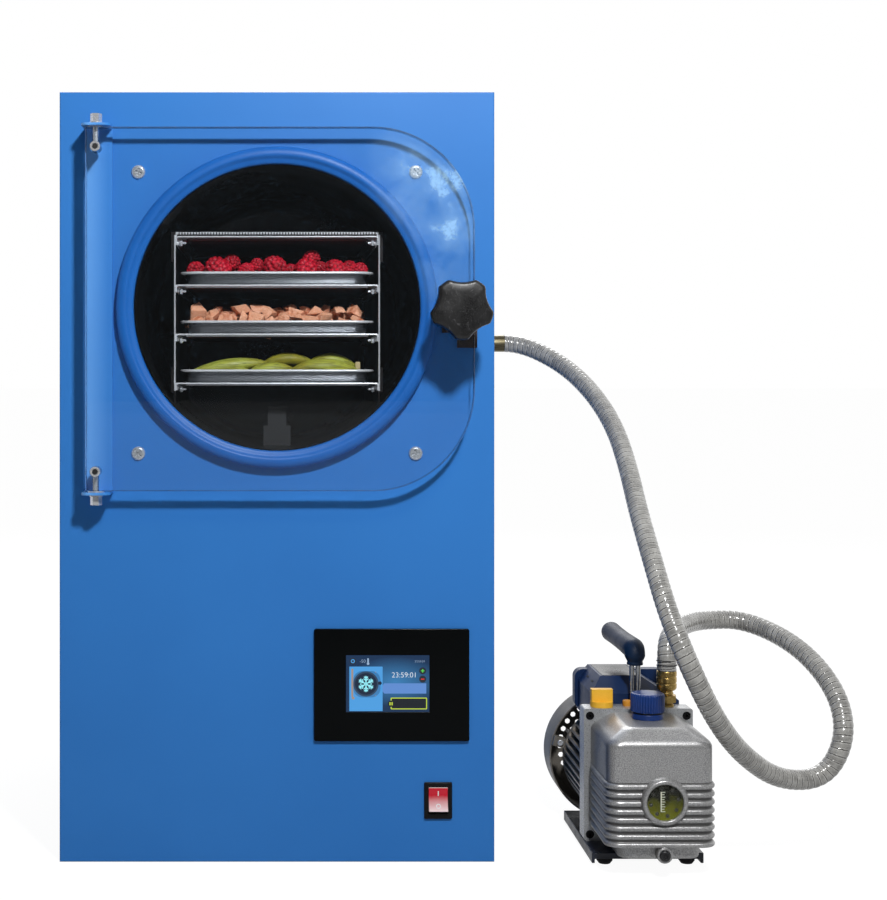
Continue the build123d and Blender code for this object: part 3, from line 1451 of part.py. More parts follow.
cover_front_y = pump_flange_y + fan_cover_start
cover_back_y = cover_front_y + fan_cover_length
fan_mid_y = (motor_back_y + cover_back_y) / 2 + 2
with BuildPart() as motor_rotor:
    with BuildSketch(front_plane(pump_flange_y - 22)):
        with Locations((pump_x, motor_axis_z)):
            Circle(shaft_radius)
    extrude(amount=-(fan_mid_y + 10 - pump_flange_y + 22))
    with BuildSketch(front_plane(motor_chamber_start + 6)):
        with Locations((pump_x, motor_axis_z)):
            Circle(rotor_radius)
    extrude(amount=-(motor_chamber_length - 12))
    with BuildSketch(front_plane(pump_flange_y - 22)):
        with Locations((pump_x, motor_axis_z)):
            Circle(vane_rotor_radius)
    extrude(amount=-20)
    with BuildSketch(front_plane(fan_mid_y - cooling_fan_length / 2)):
        with Locations((pump_x, motor_axis_z)):
            Circle(14)
            with PolarLocations(cooling_fan_radius / 2, cooling_fan_blades):
                Rectangle(cooling_fan_radius, 3)
    extrude(amount=-cooling_fan_length)
motor_rotor.part.label = "motor_rotor"
export_step(motor_rotor.part, "parts/motor_rotor.step")

grille_y = cover_back_y + fan_cover_dome
with BuildPart() as fan_cover:
    with BuildSketch(side_plane(pump_x)):
        with BuildLine():
            FilletPolyline((cover_front_y, motor_axis_z + fan_cover_radius),
                           (cover_back_y, motor_axis_z + fan_cover_radius),
                           (grille_y, motor_axis_z + fan_cover_radius - fan_cover_dome),
                           (grille_y, motor_axis_z), radius=3)
            Polyline((grille_y, motor_axis_z), (cover_front_y, motor_axis_z),
                     (cover_front_y, motor_axis_z + fan_cover_radius))
        make_face()
    revolve(axis=y_axis(pump_x, motor_axis_z))
    offset(amount=-fan_cover_wall, openings=fan_cover.faces().sort_by(Axis.Y)[0],
           kind=Kind.INTERSECTION)
    with BuildSketch(front_plane(grille_y + 1)):
        with Locations((pump_x, motor_axis_z)):
            for ring in range(5):
                with PolarLocations(12 + 9.5 * ring, 8 + 6 * ring):
                    RegularPolygon(3.1, 6)
    extrude(amount=fan_cover_dome, mode=Mode.SUBTRACT)
    # tabs that rest on the motor's fins
    tab_low = motor_fin_radius + 0.2
    for tab in range(fan_cover_tabs):
        tab_angle = fan_cover_tab_turn + tab * 360 / fan_cover_tabs
        with BuildSketch(front_plane(cover_front_y + fan_cover_tab_overlap)):
            with Locations((pump_x, motor_axis_z)):
                with Locations(Location((0, 0), tab_angle)):
                    with Locations(((tab_low + fan_cover_radius - 1) / 2, 0)):
                        Rectangle(fan_cover_radius - 1 - tab_low, 10)
        extrude(amount=fan_cover_tab_length)
fan_cover.part.label = "fan_cover"
export_step(fan_cover.part, "parts/fan_cover.step")

terminal_left = pump_x - terminal_left_reach
terminal_right = pump_x + terminal_right_reach
terminal_low_z = motor_axis_z + motor_fin_radius + 0.2
terminal_front_y = motor_front_y + 1
terminal_back_y = terminal_front_y + terminal_length
with BuildPart() as terminal_box:
    # the label face lies left of the middle, with a long slope on its right
    with BuildSketch(front_plane(terminal_front_y)):
        Polygon((terminal_left, terminal_low_z), (terminal_right, terminal_low_z),
                (terminal_right, flange_top + 3),
                (pump_x + terminal_label_right_reach, terminal_top),
                (pump_x - terminal_label_left_reach, terminal_top),
                (terminal_left, terminal_wall_top), align=None)
    extrude(amount=-terminal_length)
    with BuildSketch(side_plane(pump_x)):
        Polygon((terminal_front_y, terminal_low_z), (terminal_front_y, terminal_wall_top),
                (terminal_front_y + terminal_front_slope, terminal_top),
                (terminal_back_y, terminal_top), (terminal_back_y, terminal_low_z), align=None)
    extrude(amount=terminal_right_reach + 1, both=True, mode=Mode.INTERSECT)
    fillet(terminal_box.edges().filter_by(Axis.Z), 3)
    # rear lip
    with BuildSketch(front_plane(terminal_back_y - terminal_lip_thickness)):
        with Locations(((terminal_left + terminal_right) / 2, (terminal_low_z + terminal_lip_top) / 2)):
            RectangleRounded(terminal_right - terminal_left + 2 * terminal_lip,
                             terminal_lip_top - terminal_low_z, terminal_lip_round)
    extrude(amount=-terminal_lip_thickness)
terminal_box.part.label = "terminal_box"
export_step(terminal_box.part, "parts/terminal_box.step")

with BuildPart() as handle_rods:
    with BuildSketch(Plane.XY.offset(flange_top - handle_rod_seat)):
        with Locations(*rod_places):
            Circle(handle_rod_radius - 0.05)
    extrude(amount=grip_socket_bottom + grip_rod_depth - flange_top + handle_rod_seat)
handle_rods.part.label = "handle_rods"
export_step(handle_rods.part, "parts/handle_rods.step")

grip_end_y = handle_y + grip_length - grip_radius
with BuildPart() as handle_grip:
    with BuildSketch(front_plane(handle_y)):
        with Locations((pump_x, grip_z)):
            Circle(grip_radius)
    extrude(amount=-(grip_end_y - handle_y))
    with Locations((pump_x, grip_end_y, grip_z), (pump_x, handle_y, grip_z)):
        Sphere(grip_radius)
    with BuildSketch(Plane.XY.offset(grip_socket_bottom)):
        with Locations((pump_x, handle_y)):
            Circle(grip_socket_radius)
    with BuildSketch(Plane.XY.offset(grip_z)):
        with Locations((pump_x, handle_y)):
            Circle(grip_radius - 0.4)
    loft()
    with BuildSketch(Plane.XY.offset(grip_socket_bottom)):
        with Locations(*rod_places):
            Circle(handle_rod_radius)
    extrude(amount=grip_rod_depth, mode=Mode.SUBTRACT)
handle_grip.part.label = "handle_grip"
export_step(handle_grip.part, "parts/handle_grip.step")

# ================================================================ hose
# one route from the port's collar to the pump's inlet; y counts from the front panel
hose_route = [(x, front_y + depth, z) for x, depth, z in [
    (port_end_x, port_depth, port_z),
    (port_end_x + 20, port_depth, port_z),
    (325, 238, 500),
    (349, 183, 469),
    (363, 128, 432),
    (367, 76, 390),
    (367, 24, 346),
    (370, -28, 302),
    (376, -64, 258),
    (392, -84, 210),
    (420, -72, 156),
    (456, -38, 114),
    (502, -4, 82),
    (550, 6, 82),
    (571, 4, 124),
    (570, 30, 166),
    (548, 84, 203),
    (508, 144, 222),
    (460, 140, 222),
    (428, 100, 222),
    (406, 60, 218),
    (fitting_x, fitting_depth + pump_flange_depth, 203),
    (fitting_x, fitting_depth + pump_flange_depth, fitting_top),
]]


def hose_radii(route):
    """Arc at each corner: 0.45 of the shorter run over the tangent of half the turn."""
    radii = []
    for before, here, after in zip(route, route[1:], route[2:]):
        run_in = Vector(here) - Vector(before)
        run_out = Vector(after) - Vector(here)
        half_turn = radians(run_in.get_angle(run_out) / 2)
        radii.append(0.45 * min(run_in.length, run_out.length) / tan(half_turn))
    return radii


route_radii = hose_radii(hose_route)
print("hose arc radii, mm:", [round(radius) for radius in route_radii])
with BuildPart() as vacuum_hose:
    with BuildLine() as hose_line:
        FilletPolyline(*hose_route, radius=route_radii)
    with BuildSketch(Plane(hose_route[0], x_dir=(0, 0, 1),
                           z_dir=Vector(hose_route[1]) - Vector(hose_route[0]))):
        Circle(hose_radius)
    sweep(transition=Transition.RIGHT)
vacuum_hose.part.label = "vacuum_hose"
export_step(vacuum_hose.part, "parts/vacuum_hose.step")
hose_length = sum(edge.length for edge in hose_line.line.edges())
print("hose length, mm:", round(hose_length, 1),
      "volume ratio:", round(vacuum_hose.part.volume / (pi * hose_radius**2 * hose_length), 4))
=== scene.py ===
"""Dress of a tabletop freeze dryer: surfaces, finishes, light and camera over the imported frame.

The frame is in metres: +Z up, the front panel faces -Y. Shapes are drawn here in millimetres and
scaled when they become meshes. The hose's route and the places that finishes read are in metres.
"""
import itertools
import math

import bmesh
import bpy
import numpy as np
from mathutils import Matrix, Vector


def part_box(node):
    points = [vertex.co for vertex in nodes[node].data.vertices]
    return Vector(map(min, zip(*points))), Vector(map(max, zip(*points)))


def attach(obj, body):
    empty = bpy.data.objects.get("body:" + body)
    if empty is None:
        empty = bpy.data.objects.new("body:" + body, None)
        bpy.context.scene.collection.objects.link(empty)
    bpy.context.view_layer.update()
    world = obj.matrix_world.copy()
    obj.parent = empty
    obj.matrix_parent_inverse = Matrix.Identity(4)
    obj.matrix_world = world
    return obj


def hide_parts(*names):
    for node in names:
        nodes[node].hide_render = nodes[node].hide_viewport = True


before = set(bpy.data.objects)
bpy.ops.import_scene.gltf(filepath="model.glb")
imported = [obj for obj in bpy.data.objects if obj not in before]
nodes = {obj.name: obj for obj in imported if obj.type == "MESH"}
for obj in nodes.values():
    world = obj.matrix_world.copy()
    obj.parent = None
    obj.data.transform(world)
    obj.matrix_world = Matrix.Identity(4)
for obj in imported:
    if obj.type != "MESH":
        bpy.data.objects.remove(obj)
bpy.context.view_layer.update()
TAU = 2 * math.pi
MM = 0.001
# directions across, up and out of a face
FRONT = ((1, 0, 0), (0, 0, 1), (0, -1, 0))
UP = ((1, 0, 0), (0, 1, 0), (0, 0, 1))
RIGHT = ((0, 1, 0), (0, 0, 1), (1, 0, 0))

# ------------------------------------------------------------------ light and camera
scene = bpy.context.scene
scene.view_settings.view_transform = "Standard"


def placed(name, data):
    """New object holding some data, in the scene's collection."""
    item = bpy.data.objects.new(name, data)
    scene.collection.objects.link(item)
    return item


camera_data = bpy.data.cameras.new("camera")
camera_data.lens, camera_data.sensor_width = 68.0, 36.0
camera_data.shift_x, camera_data.shift_y = 0.185, -0.0833
camera = placed("camera", camera_data)
camera.location = (0.0, -1.960, 0.487)
camera.rotation_euler = (math.pi / 2, 0.0, 0.0)
scene.camera = camera

for name, place, target, size, power in (
        ("key_light", (0.30, -1.41, 1.36), (0.04, -0.26, 0.44), 0.12, 22.4),
        ("side_fill", (2.1, -1.6, 1.0), (0.36, -0.2, 0.2), 0.8, 2.2),
        ("back_fill", (0.4, 2.2, 1.9), (0.1, 0.2, 0.4), 1.2, 24.0)):
    lamp_data = bpy.data.lights.new(name, "AREA")
    lamp_data.size, lamp_data.energy = size, power
    lamp = placed(name, lamp_data)
    lamp.location = place
    aim = np.subtract(target, place)
    lamp.rotation_euler = (math.atan2(math.hypot(aim[0], aim[1]), -aim[2]), 0.0, math.atan2(-aim[0], aim[1]))


# ------------------------------------------------------------------ making shapes
def grid(points, close_rows=False, close_columns=False, cap=False):
    """Vertices and faces of points[row, column]; either way may close, and open rows may be capped."""
    rows, columns = points.shape[:2]
    index = np.arange(rows * columns).reshape(rows, columns)
    whole = index
    if close_columns:
        whole = np.concatenate([whole, whole[:, :1]], axis=1)
    if close_rows:
        whole = np.concatenate([whole, whole[:1]], axis=0)
    quads = np.stack([whole[:-1, :-1], whole[:-1, 1:], whole[1:, 1:], whole[1:, :-1]], axis=-1)
    faces = quads.reshape(-1, 4).tolist()
    if cap:
        faces += [index[0][::-1].tolist(), index[-1].tolist()]
    return points.reshape(-1, 3), faces


def joined(shapes):
    """Several shapes as one list of vertices and faces."""
    vertices, faces, start = [], [], 0
    for points, polygons in shapes:
        vertices.append(points)
        faces += [[corner + start for corner in polygon] for polygon in polygons]
        start += len(points)
    return np.concatenate(vertices), faces


def laid(points, origin, facing=UP):
    """Local (across, up, out) points put at an origin along the three directions of a facing."""
    return np.asarray(origin, float) + np.asarray(points, float) @ np.asarray(facing, float)


def lofted(rings, origin, facing=UP):
    """Closed outlines, each a pair of (u, v) rows and a height, joined one after another and capped."""
    rows = [np.column_stack([flat, np.full(len(flat), out)]) for flat, out in rings]
    return grid(laid(np.stack(rows), origin, facing), close_columns=True, cap=True)


def rounded_outline(half_u, half_v, radius, corner_steps=6):
    """Closed outline of a rectangle with quarter-circle corners, as (u, v) rows."""
    radius = max(0.001, min(radius, half_u - 0.001, half_v - 0.001))
    turn = np.linspace(0, math.pi / 2, corner_steps + 1)
    corners = []
    for number, (sign_u, sign_v) in enumerate(((1, 1), (-1, 1), (-1, -1), (1, -1))):
        angle = turn + number * math.pi / 2
        corners.append(np.stack([sign_u * (half_u - radius) + radius * np.cos(angle),
                                 sign_v * (half_v - radius) + radius * np.sin(angle)], axis=1))
    return np.concatenate(corners)


def slab(origin, facing, half_u, half_v, thickness, corner, edge, corner_steps=6, edge_steps=3):
    """Plate standing out from an origin: rounded outline, with quarter-round edges front and back."""
    rings = []
    for angle in np.linspace(0, math.pi / 2, edge_steps + 1):
        inset, height = edge * (1 - math.sin(angle)), edge * (1 - math.cos(angle))
        rings.append((rounded_outline(half_u - inset, half_v - inset, corner - inset, corner_steps), height))
    return lofted(rings + [(flat, thickness - height) for flat, height in rings[::-1]], origin, facing)


def lathe(profile, origin, facing=UP, steps=48, closed=False, cap=True):
    """(radius, out) rows turned about the facing's out direction; a closed profile makes a ring."""
    profile = np.asarray(profile, float)
    angle = np.linspace(0, TAU, steps, endpoint=False)
    points = np.stack([profile[:, None, 0] * np.cos(angle), profile[:, None, 0] * np.sin(angle),
                       np.broadcast_to(profile[:, None, 1], (len(profile), steps))], axis=-1)
    return grid(laid(points, origin, facing), close_rows=closed, close_columns=True, cap=cap and not closed)


def prism(outline, origin, facing, thickness, bevel=0.0):
    """An outline of (u, v) rows carried straight out, with a small chamfer at both ends."""
    outline = np.asarray(outline, float)
    centre = outline.mean(axis=0)
    reach = np.linalg.norm(outline - centre, axis=1).max()
    return lofted([(centre + (outline - centre) * (1 - inset / reach), out) for inset, out in
                   ((bevel, 0.0), (0.0, bevel), (0.0, thickness - bevel), (bevel, thickness))], origin, facing)


def hexagon(flats, turn=0.0):
    """Six corners of a hexagon, given across its flats."""
    angle = turn + np.arange(6) * TAU / 6
    return np.stack([np.cos(angle), np.sin(angle)], axis=1) * flats / math.sqrt(3)


def frames_along(line):
    """Two unit directions across the line at each point, carried along it without twist."""
    tangent = np.gradient(line, axis=0)
    tangent /= np.linalg.norm(tangent, axis=1)[:, None]
    across = np.empty_like(line)
    start = np.array([0.0, 0.0, 1.0]) if abs(tangent[0, 2]) < 0.9 else np.array([1.0, 0.0, 0.0])
    for i, direction in enumerate(tangent):
        start = start - direction * np.dot(start, direction)
        start /= np.linalg.norm(start)
        across[i] = start
    return across, np.cross(tangent, across)


def tube(line, radii, sides=12):
    """Round tube along a line of points, closed at both ends; the radius is one number, one for each
    point, or one for each point and side."""
    line = np.asarray(line, float)
    across, over = frames_along(line)
    angle = np.linspace(0, TAU, sides, endpoint=False)
    reach = np.broadcast_to(radii if np.ndim(radii) == 2 else np.reshape(radii, (-1, 1)), (len(line), sides))
    ring = np.cos(angle)[None, :, None] * across[:, None] + np.sin(angle)[None, :, None] * over[:, None]
    return grid(line[:, None] + reach[..., None] * ring, close_columns=True, cap=True)


# ------------------------------------------------------------------ making pieces
finishes = {}


def box(name):
    """Low and high corner of a CAD node's box, in millimetres."""
    return np.array(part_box(name)) / MM


def finished(mesh, name, finish, body, stands_for=()):
    """Object of a mesh in one finish, riding on its body."""
    mesh.materials.clear()
    mesh.materials.append(finishes[finish])
    item = placed(name, mesh)
    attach(item, body)
    if stands_for:
        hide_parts(*stands_for)
    return item


def piece(name, shapes, finish, stands_for=(), sharp=35.0, body="cabinet"):
    """New object from a shape or a list of them: doubles merged, faces outwards."""
    vertices, faces = joined(shapes) if isinstance(shapes, list) else shapes
    mesh = bpy.data.meshes.new(name)
    mesh.from_pydata((np.asarray(vertices, float) * MM).tolist(), [], faces)
    work = bmesh.new()
    work.from_mesh(mesh)
    bmesh.ops.remove_doubles(work, verts=work.verts, dist=1e-6)
    bmesh.ops.dissolve_degenerate(work, edges=work.edges, dist=1e-7)
    bmesh.ops.recalc_face_normals(work, faces=work.faces)
    work.to_mesh(mesh)
    work.free()
    mesh.shade_smooth()
    mesh.set_sharp_from_angle(angle=math.radians(sharp))
    return finished(mesh, name, finish, body, stands_for)


def softened(name, node, finish, width, segments=3, body="cabinet"):
    """A copy of a CAD node with its flat faces merged and its edges rounded; it stands for the node."""
    mesh = nodes[node].data.copy()
    mesh.name = name
    work = bmesh.new()
    work.from_mesh(mesh)
    bmesh.ops.remove_doubles(work, verts=work.verts, dist=2e-6)
    bmesh.ops.dissolve_limit(work, angle_limit=math.radians(0.6), verts=work.verts, edges=work.edges)
    work.to_mesh(mesh)
    work.free()
    for layer in ("sharp_face", "sharp_edge", "custom_normal"):
        if mesh.attributes.get(layer):
            mesh.attributes.remove(mesh.attributes[layer])
    mesh.shade_smooth()
    mesh.set_sharp_from_angle(angle=math.radians(55))
    item = finished(mesh, name, finish, body, (node,))
    edge = item.modifiers.new("rounded edges", "BEVEL")
    edge.width = width * MM
    edge.segments = segments
    edge.limit_method = "ANGLE"
    edge.angle_limit = math.radians(30)
    edge.harden_normals = True


def words(name, text, size, place, finish):
    """Plain digits or signs as a thin mesh on the screen."""
    data = bpy.data.curves.new(name, "FONT")
    data.body = text
    data.size = size * MM
    data.align_x = data.align_y = "CENTER"
    data.extrude = 0.03 * MM
    data.offset = -0.012 * size * MM
    source = placed(name + "_source", data)
    bpy.context.view_layer.update()
    mesh = bpy.data.meshes.new_from_object(source)
    bpy.data.objects.remove(source)
    flat = np.empty(len(mesh.vertices) * 3)
    mesh.vertices.foreach_get("co", flat)
    mesh.vertices.foreach_set("co", laid(flat.reshape(-1, 3), np.array(place) * MM, FRONT).ravel())
    mesh.name = name
    finished(mesh, name, finish, "cabinet")


# ------------------------------------------------------------------ making finishes
def srgb(*colour):
    """Linear colour of an 8-bit display colour."""
    parts = [channel / 255 for channel in colour]
    return tuple(c / 12.92 if c <= 0.04045 else ((c + 0.055) / 1.055) ** 2.4 for c in parts) + (1.0,)


class Nodes:
    """Writes nodes into a tree, and hands back the socket that carries the result."""

    def __init__(self, tree):
        self.tree = tree
        tree.nodes.clear()

    def add(self, kind, inputs=(), **settings):
        item = self.tree.nodes.new("ShaderNode" + kind)
        for key, value in settings.items():
            setattr(item, key, value)
        self.feed(item, inputs)
        return item

    def feed(self, item, inputs):
        """An input given a socket is linked to it, any other is set."""
        for key, value in dict(inputs).items():
            if isinstance(value, bpy.types.NodeSocket):
                self.tree.links.new(value, item.inputs[key])
            else:
                item.inputs[key].default_value = value

    def where(self):
        """Place on the object, in metres."""
        return self.add("TexCoord").outputs["Object"]

    def shape(self, output):
        return self.add("NewGeometry").outputs[output]

    def paths(self, *kinds):
        """How far a ray is one of some kinds."""
        outputs = self.add("LightPath").outputs
        return self.most(*[outputs[f"Is {kind} Ray"] for kind in kinds])

    def parts(self, vector):
        return tuple(self.add("SeparateXYZ", {0: vector}).outputs)

    def vector(self, operation, first, second=None, output=0):
        inputs = {0: first} if second is None else {0: first, 1: second}
        return self.add("VectorMath", inputs, operation=operation).outputs[output]

    def far(self, *centre):
        """Distance from a place."""
        return self.vector("DISTANCE", self.where(), centre, "Value")

    def noise(self, scale, detail=2.0, vector=None, stretch=None, output=0, **more):
        """Noise over the object's own space, or over another vector, or finer along some axes."""
        vector = self.where() if vector is None else vector
        vector = vector if stretch is None else self.vector("MULTIPLY", vector, stretch)
        return self.add("TexNoise", {"Vector": vector, "Scale": scale, "Detail": detail, **more}).outputs[output]

    def maths(self, operation, *values):
        return self.add("Math", dict(enumerate(values)), operation=operation).outputs[0]

    def times(self, first, *rest):
        """Product of two or more values."""
        for value in rest:
            first = self.maths("MULTIPLY", first, value)
        return first

    def most(self, first, *rest):
        """Greatest of one or more values."""
        for value in rest:
            first = self.maths("MAXIMUM", first, value)
        return first

    def off(self, value, middle):
        """How far a value is from a middle, either way."""
        return self.maths("ABSOLUTE", self.maths("SUBTRACT", value, middle))

    def ranged(self, value, low, high, to_low=0.0, to_high=1.0):
        """A value carried from one range to another and held within it."""
        return self.add("MapRange", dict(enumerate((value, low, high, to_low, to_high)))).outputs[0]

    def mix(self, factor, *colours):
        """Mix of two colours; three numbers are an 8-bit display colour."""
        first, second = (srgb(*c) if isinstance(c, tuple) and len(c) == 3 else c for c in colours)
        return self.add("Mix", {0: factor, 6: first, 7: second}, data_type="RGBA").outputs[2]

    def fade(self, value, low, high, first, second):
        """One colour turning into another as a value goes from low to high."""
        return self.mix(self.ranged(value, low, high), first, second)

    def blend(self, factor, first, second):
        """Mix of two shaders."""
        return self.add("MixShader", {0: factor, 1: first, 2: second}).outputs[0]

    def group(self, tree, values):
        return self.add("Group", values, node_tree=tree).outputs

    def bump(self, height, strength, distance):
        return self.add("Bump", {"Strength": strength, "Distance": distance, "Height": height}).outputs[0]


class Finish(Nodes):
    """A material under its name in the list of finishes, with one Principled shader."""

    def __init__(self, name):
        finishes[name] = bpy.data.materials.new(name)
        finishes[name].use_nodes = True
        super().__init__(finishes[name].node_tree)
        self.shader = self.add("BsdfPrincipled")
        self.output = self.add("OutputMaterial", {0: self.shader.outputs[0]})

    def done(self, colour, roughness, relief=None, **sockets):
        """Feeds the shader. Roughness may be noise with the two values it runs between, relief is a
        height, strength and distance, and an underscore in a socket's name is a space."""
        if isinstance(roughness, tuple):
            noise, smooth, rough = roughness
            roughness = self.ranged(noise, 0.3, 0.7, smooth, rough)
        inputs = {"Base Color": colour, "Roughness": roughness}
        inputs.update({key.replace("_", " "): value for key, value in sockets.items()})
        if relief:
            inputs["Normal"] = self.bump(*relief)
        self.feed(self.shader, inputs)

    def show(self, result):
        """Puts a result in place of the plain shader."""
        self.feed(self.output, {0: result})


def new_group(name, inputs, outputs):
    """Shader node group with named sockets; returns its nodes, its inputs and its output node."""
    tree = bpy.data.node_groups.new(name, "ShaderNodeTree")
    for label, value in inputs.items():
        kind = "Color" if np.size(value) == 4 else "Vector" if np.size(value) == 3 else "Float"
        tree.interface.new_socket(label, in_out="INPUT", socket_type="NodeSocket" + kind).default_value = value
    for label in outputs:
        kind = "Color" if label == "Colour" else "Float"
        tree.interface.new_socket(label, in_out="OUTPUT", socket_type="NodeSocket" + kind)
    return Nodes(tree), tree.nodes.new("NodeGroupInput").outputs, tree.nodes.new("NodeGroupOutput")


surface = ("Colour", "Roughness", "Height")
mottle, given, made = new_group("Mottle", {
    "Colour": (0.5, 0.5, 0.5, 1), "Second Colour": (0.4, 0.4, 0.4, 1), "Patches per Metre": 8.0,
    "Grains per Metre": 900.0, "Roughness": 0.5, "Spread": 0.1}, surface)
patches = mottle.noise(given["Patches per Metre"], 4.0)
grains = mottle.noise(given["Grains per Metre"])
shade = mottle.ranged(mottle.maths("ADD", mottle.times(patches, 0.65),
                                   mottle.times(grains, 0.35)), 0.35, 0.65)
spread = mottle.times(given["Spread"], mottle.maths("SUBTRACT", shade, 0.5))
mottle.feed(made, {0: mottle.mix(shade, given["Colour"], given["Second Colour"]),
                   1: mottle.maths("ADD", given["Roughness"], spread), 2: grains})

brushing, given, made = new_group("Brushing", {
    "Colour": (0.7, 0.7, 0.7, 1), "Second Colour": (0.5, 0.5, 0.5, 1), "Stretch": (40.0, 1500.0, 1500.0),
    "Roughness": 0.3, "Spread": 0.15}, surface)
lines = brushing.noise(1.0, 3.0, stretch=given["Stretch"])
stains = brushing.noise(14.0, 3.0)
shade = brushing.ranged(brushing.maths("ADD", brushing.times(lines, 0.6),
                                       brushing.times(stains, 0.4)), 0.36, 0.64)
spread = brushing.times(given["Spread"], shade)
brushing.feed(made, {0: brushing.mix(shade, given["Colour"], given["Second Colour"]),
                     1: brushing.maths("ADD", given["Roughness"], spread), 2: lines})

scuffs, given, made = new_group("Scuffs", {"Length": (60.0, 900.0, 260.0)}, ("Mask",))
moved = scuffs.vector("ADD", scuffs.where(), scuffs.noise(9.0, output=1))
marks = scuffs.noise(1.0, 4.0, moved, given["Length"])
scuffs.feed(made, {0: scuffs.ranged(marks, 0.6, 0.72)})


def dress(finish, names):
    """Gives CAD nodes a finish in place of the one they came with."""
    for name in names.split():
        nodes[name].data.materials.clear()
        nodes[name].data.materials.append(finishes[finish])


def from_group(name, on, group, colour, second, values, bump, grain, sockets):
    """Finish whose colour, roughness and bump come from a group, on some CAD nodes."""
    make = Finish(name)
    source = make.group(group.tree, {"Colour": srgb(*colour), "Second Colour": srgb(*second), **values})
    make.done(source["Colour"], source["Roughness"], (source["Height"], bump, grain), **sockets)
    dress(name, on)


def mottled(name, on, colour, second, roughness, spread=0.1, patches=8.0, grains=900.0, bump=0.1,
            grain=0.0002, **sockets):
    """Moulded, painted or cast finish."""
    values = {"Patches per Metre": patches, "Grains per Metre": grains, "Roughness": roughness, "Spread": spread}
    from_group(name, on, mottle, colour, second, values, bump, grain, sockets)


def brushed(name, on, colour, second, roughness, spread=0.15, stretch=(40.0, 1500.0, 1500.0), **sockets):
    """Drawn or ground metal with fine lines along its least stretched axis."""
    values = {"Stretch": stretch, "Roughness": roughness, "Spread": spread}
    from_group(name, on, brushing, colour, second, values, 0.05, 0.00005, {"Metallic": 1.0, **sockets})


mottled("powder_blue", "base_pan cabinet_shell front_panel rear_cover", (51, 123, 200), (46, 116, 192), 0.42, 0.08,
        5.0, 1400.0, 0.10, 0.0001, Specular_IOR_Level=0.22)
mottled("gasket_blue", "", (24, 108, 192), (18, 94, 174), 0.42, 0.1, 12.0, 700.0, 0.05, Specular_IOR_Level=0.3)
# near-black chamber steel: painted shade of the unlit chamber, not the steel's own colour
mottled("chamber_painted_shade", "chamber", (17, 18, 20), (9, 10, 11), 0.34, 0.2, 10.0, 500.0, 0.02, Specular_IOR_Level=0.3)
# rack steel: a near-white base with little metal, a painted sheen standing in for the steel's reflection
brushed("rack_steel", "rack_top shelf_upper shelf_middle shelf_lower rack_screws motor_rotor", (236, 236, 238),
        (214, 214, 216), 0.24, Metallic=0.45)
mottled("heater_mat_brown", "", (74, 26, 20), (50, 18, 14), 0.5, 0.2)
mottled("rod_chrome", "handle_rods", (178, 180, 184), (140, 142, 146), 0.10, 0.05, 20.0, 400.0, 0.0, Metallic=1.0)
brushed("bright_steel", "hinge_washers hinge_bolts clamp_washer clamp_stud panel_screws", (236, 238, 240),
        (200, 202, 206), 0.16, 0.15, (300.0, 300.0, 900.0), Metallic=0.65)
# latch plate: partly its own brown-grey, partly painted shade of the knob's shadow seen through the door
mottled("latch_brown", "latch_bracket", (72, 60, 58), (46, 38, 38), 0.45, 0.2, 40.0)
mottled("knob_black", "", (26, 26, 27), (38, 38, 40), 0.34, 0.2, 30.0, 1500.0, 0.12)
mottled("display_gloss", "display_module", (3, 5, 6), (5, 7, 8), 0.20, 0.06, 20.0, 600.0, 0.01,
        Specular_IOR_Level=0.08)
mottled("switch_black", "switch_housing power_inlet flange_screws drain_plug condenser_fan", (9, 9, 11), (14, 14, 16),
        0.32, 0.1, 60.0, Specular_IOR_Level=0.2)
# dark brushed steel of the rack sides; also the painted shade of the gap under the rack top
brushed("side_steel_and_gap_shade", "rack_sides", (60, 56, 56), (34, 32, 32), 0.34)
mottled("board_green", "controller_board", (16, 84, 48), (10, 60, 34), 0.4)
mottled("compressor_black", "compressor fan_shroud", (16, 16, 18), (26, 26, 28), 0.4, 0.2)
brushed("copper_pipe", "evaporator_coil", (190, 110, 74), (150, 80, 50), 0.3)
mottled("foam_black", "chamber_insulation", (24, 24, 24), (34, 34, 34), 0.9, 0.1, 30.0, 300.0, 0.4)
brushed("mill_aluminium", "condenser_block power_supply", (190, 192, 194), (150, 152, 155), 0.35, 0.2)
brushed("port_khaki", "vacuum_port", (140, 132, 106), (84, 78, 60), 0.30, 0.2, (60.0, 900.0, 900.0))
mottled("base_paint", "pump_base", (22, 28, 42), (34, 40, 54), 0.36, 0.2, 40.0)
mottled("foot_rubber", "pump_feet", (16, 17, 22), (26, 27, 32), 0.75, 0.1, 60.0, 600.0, 0.2)
mottled("cast_silver", "oil_tank", (190, 190, 190), (160, 160, 161), 0.36, 0.2, 900.0, 1700.0, 0.4, 0.0003,
        Metallic=0.6)
mottled("plate_silver", "pump_flange", (196, 198, 200), (160, 162, 164), 0.34, 0.25, 700.0, 1500.0, 0.4, 0.0003,
        Metallic=0.6)
mottled("fin_aluminium", "motor_housing", (154, 146, 135), (112, 106, 98), 0.42, 0.25, 60.0, 900.0, 0.3,
        Metallic=0.12)
mottled("cover_grey", "fan_cover", (123, 118, 110), (99, 95, 89), 0.42, 0.15, 20.0, 900.0, 0.1, 0.0001)
mottled("cap_blue", "filler_neck oil_cap", (18, 56, 124), (12, 44, 104), 0.34, 0.1, 60.0, 700.0, 0.06)
mottled("box_blue", "terminal_box", (14, 42, 84), (10, 34, 70), 0.42, 0.12, 40.0, 1200.0, 0.12,
        Specular_IOR_Level=0.35)
mottled("grip_blue", "handle_grip", (14, 38, 68), (10, 32, 58), 0.50, 0.12, 40.0, 1300.0, 0.25,
        Specular_IOR_Level=0.25)
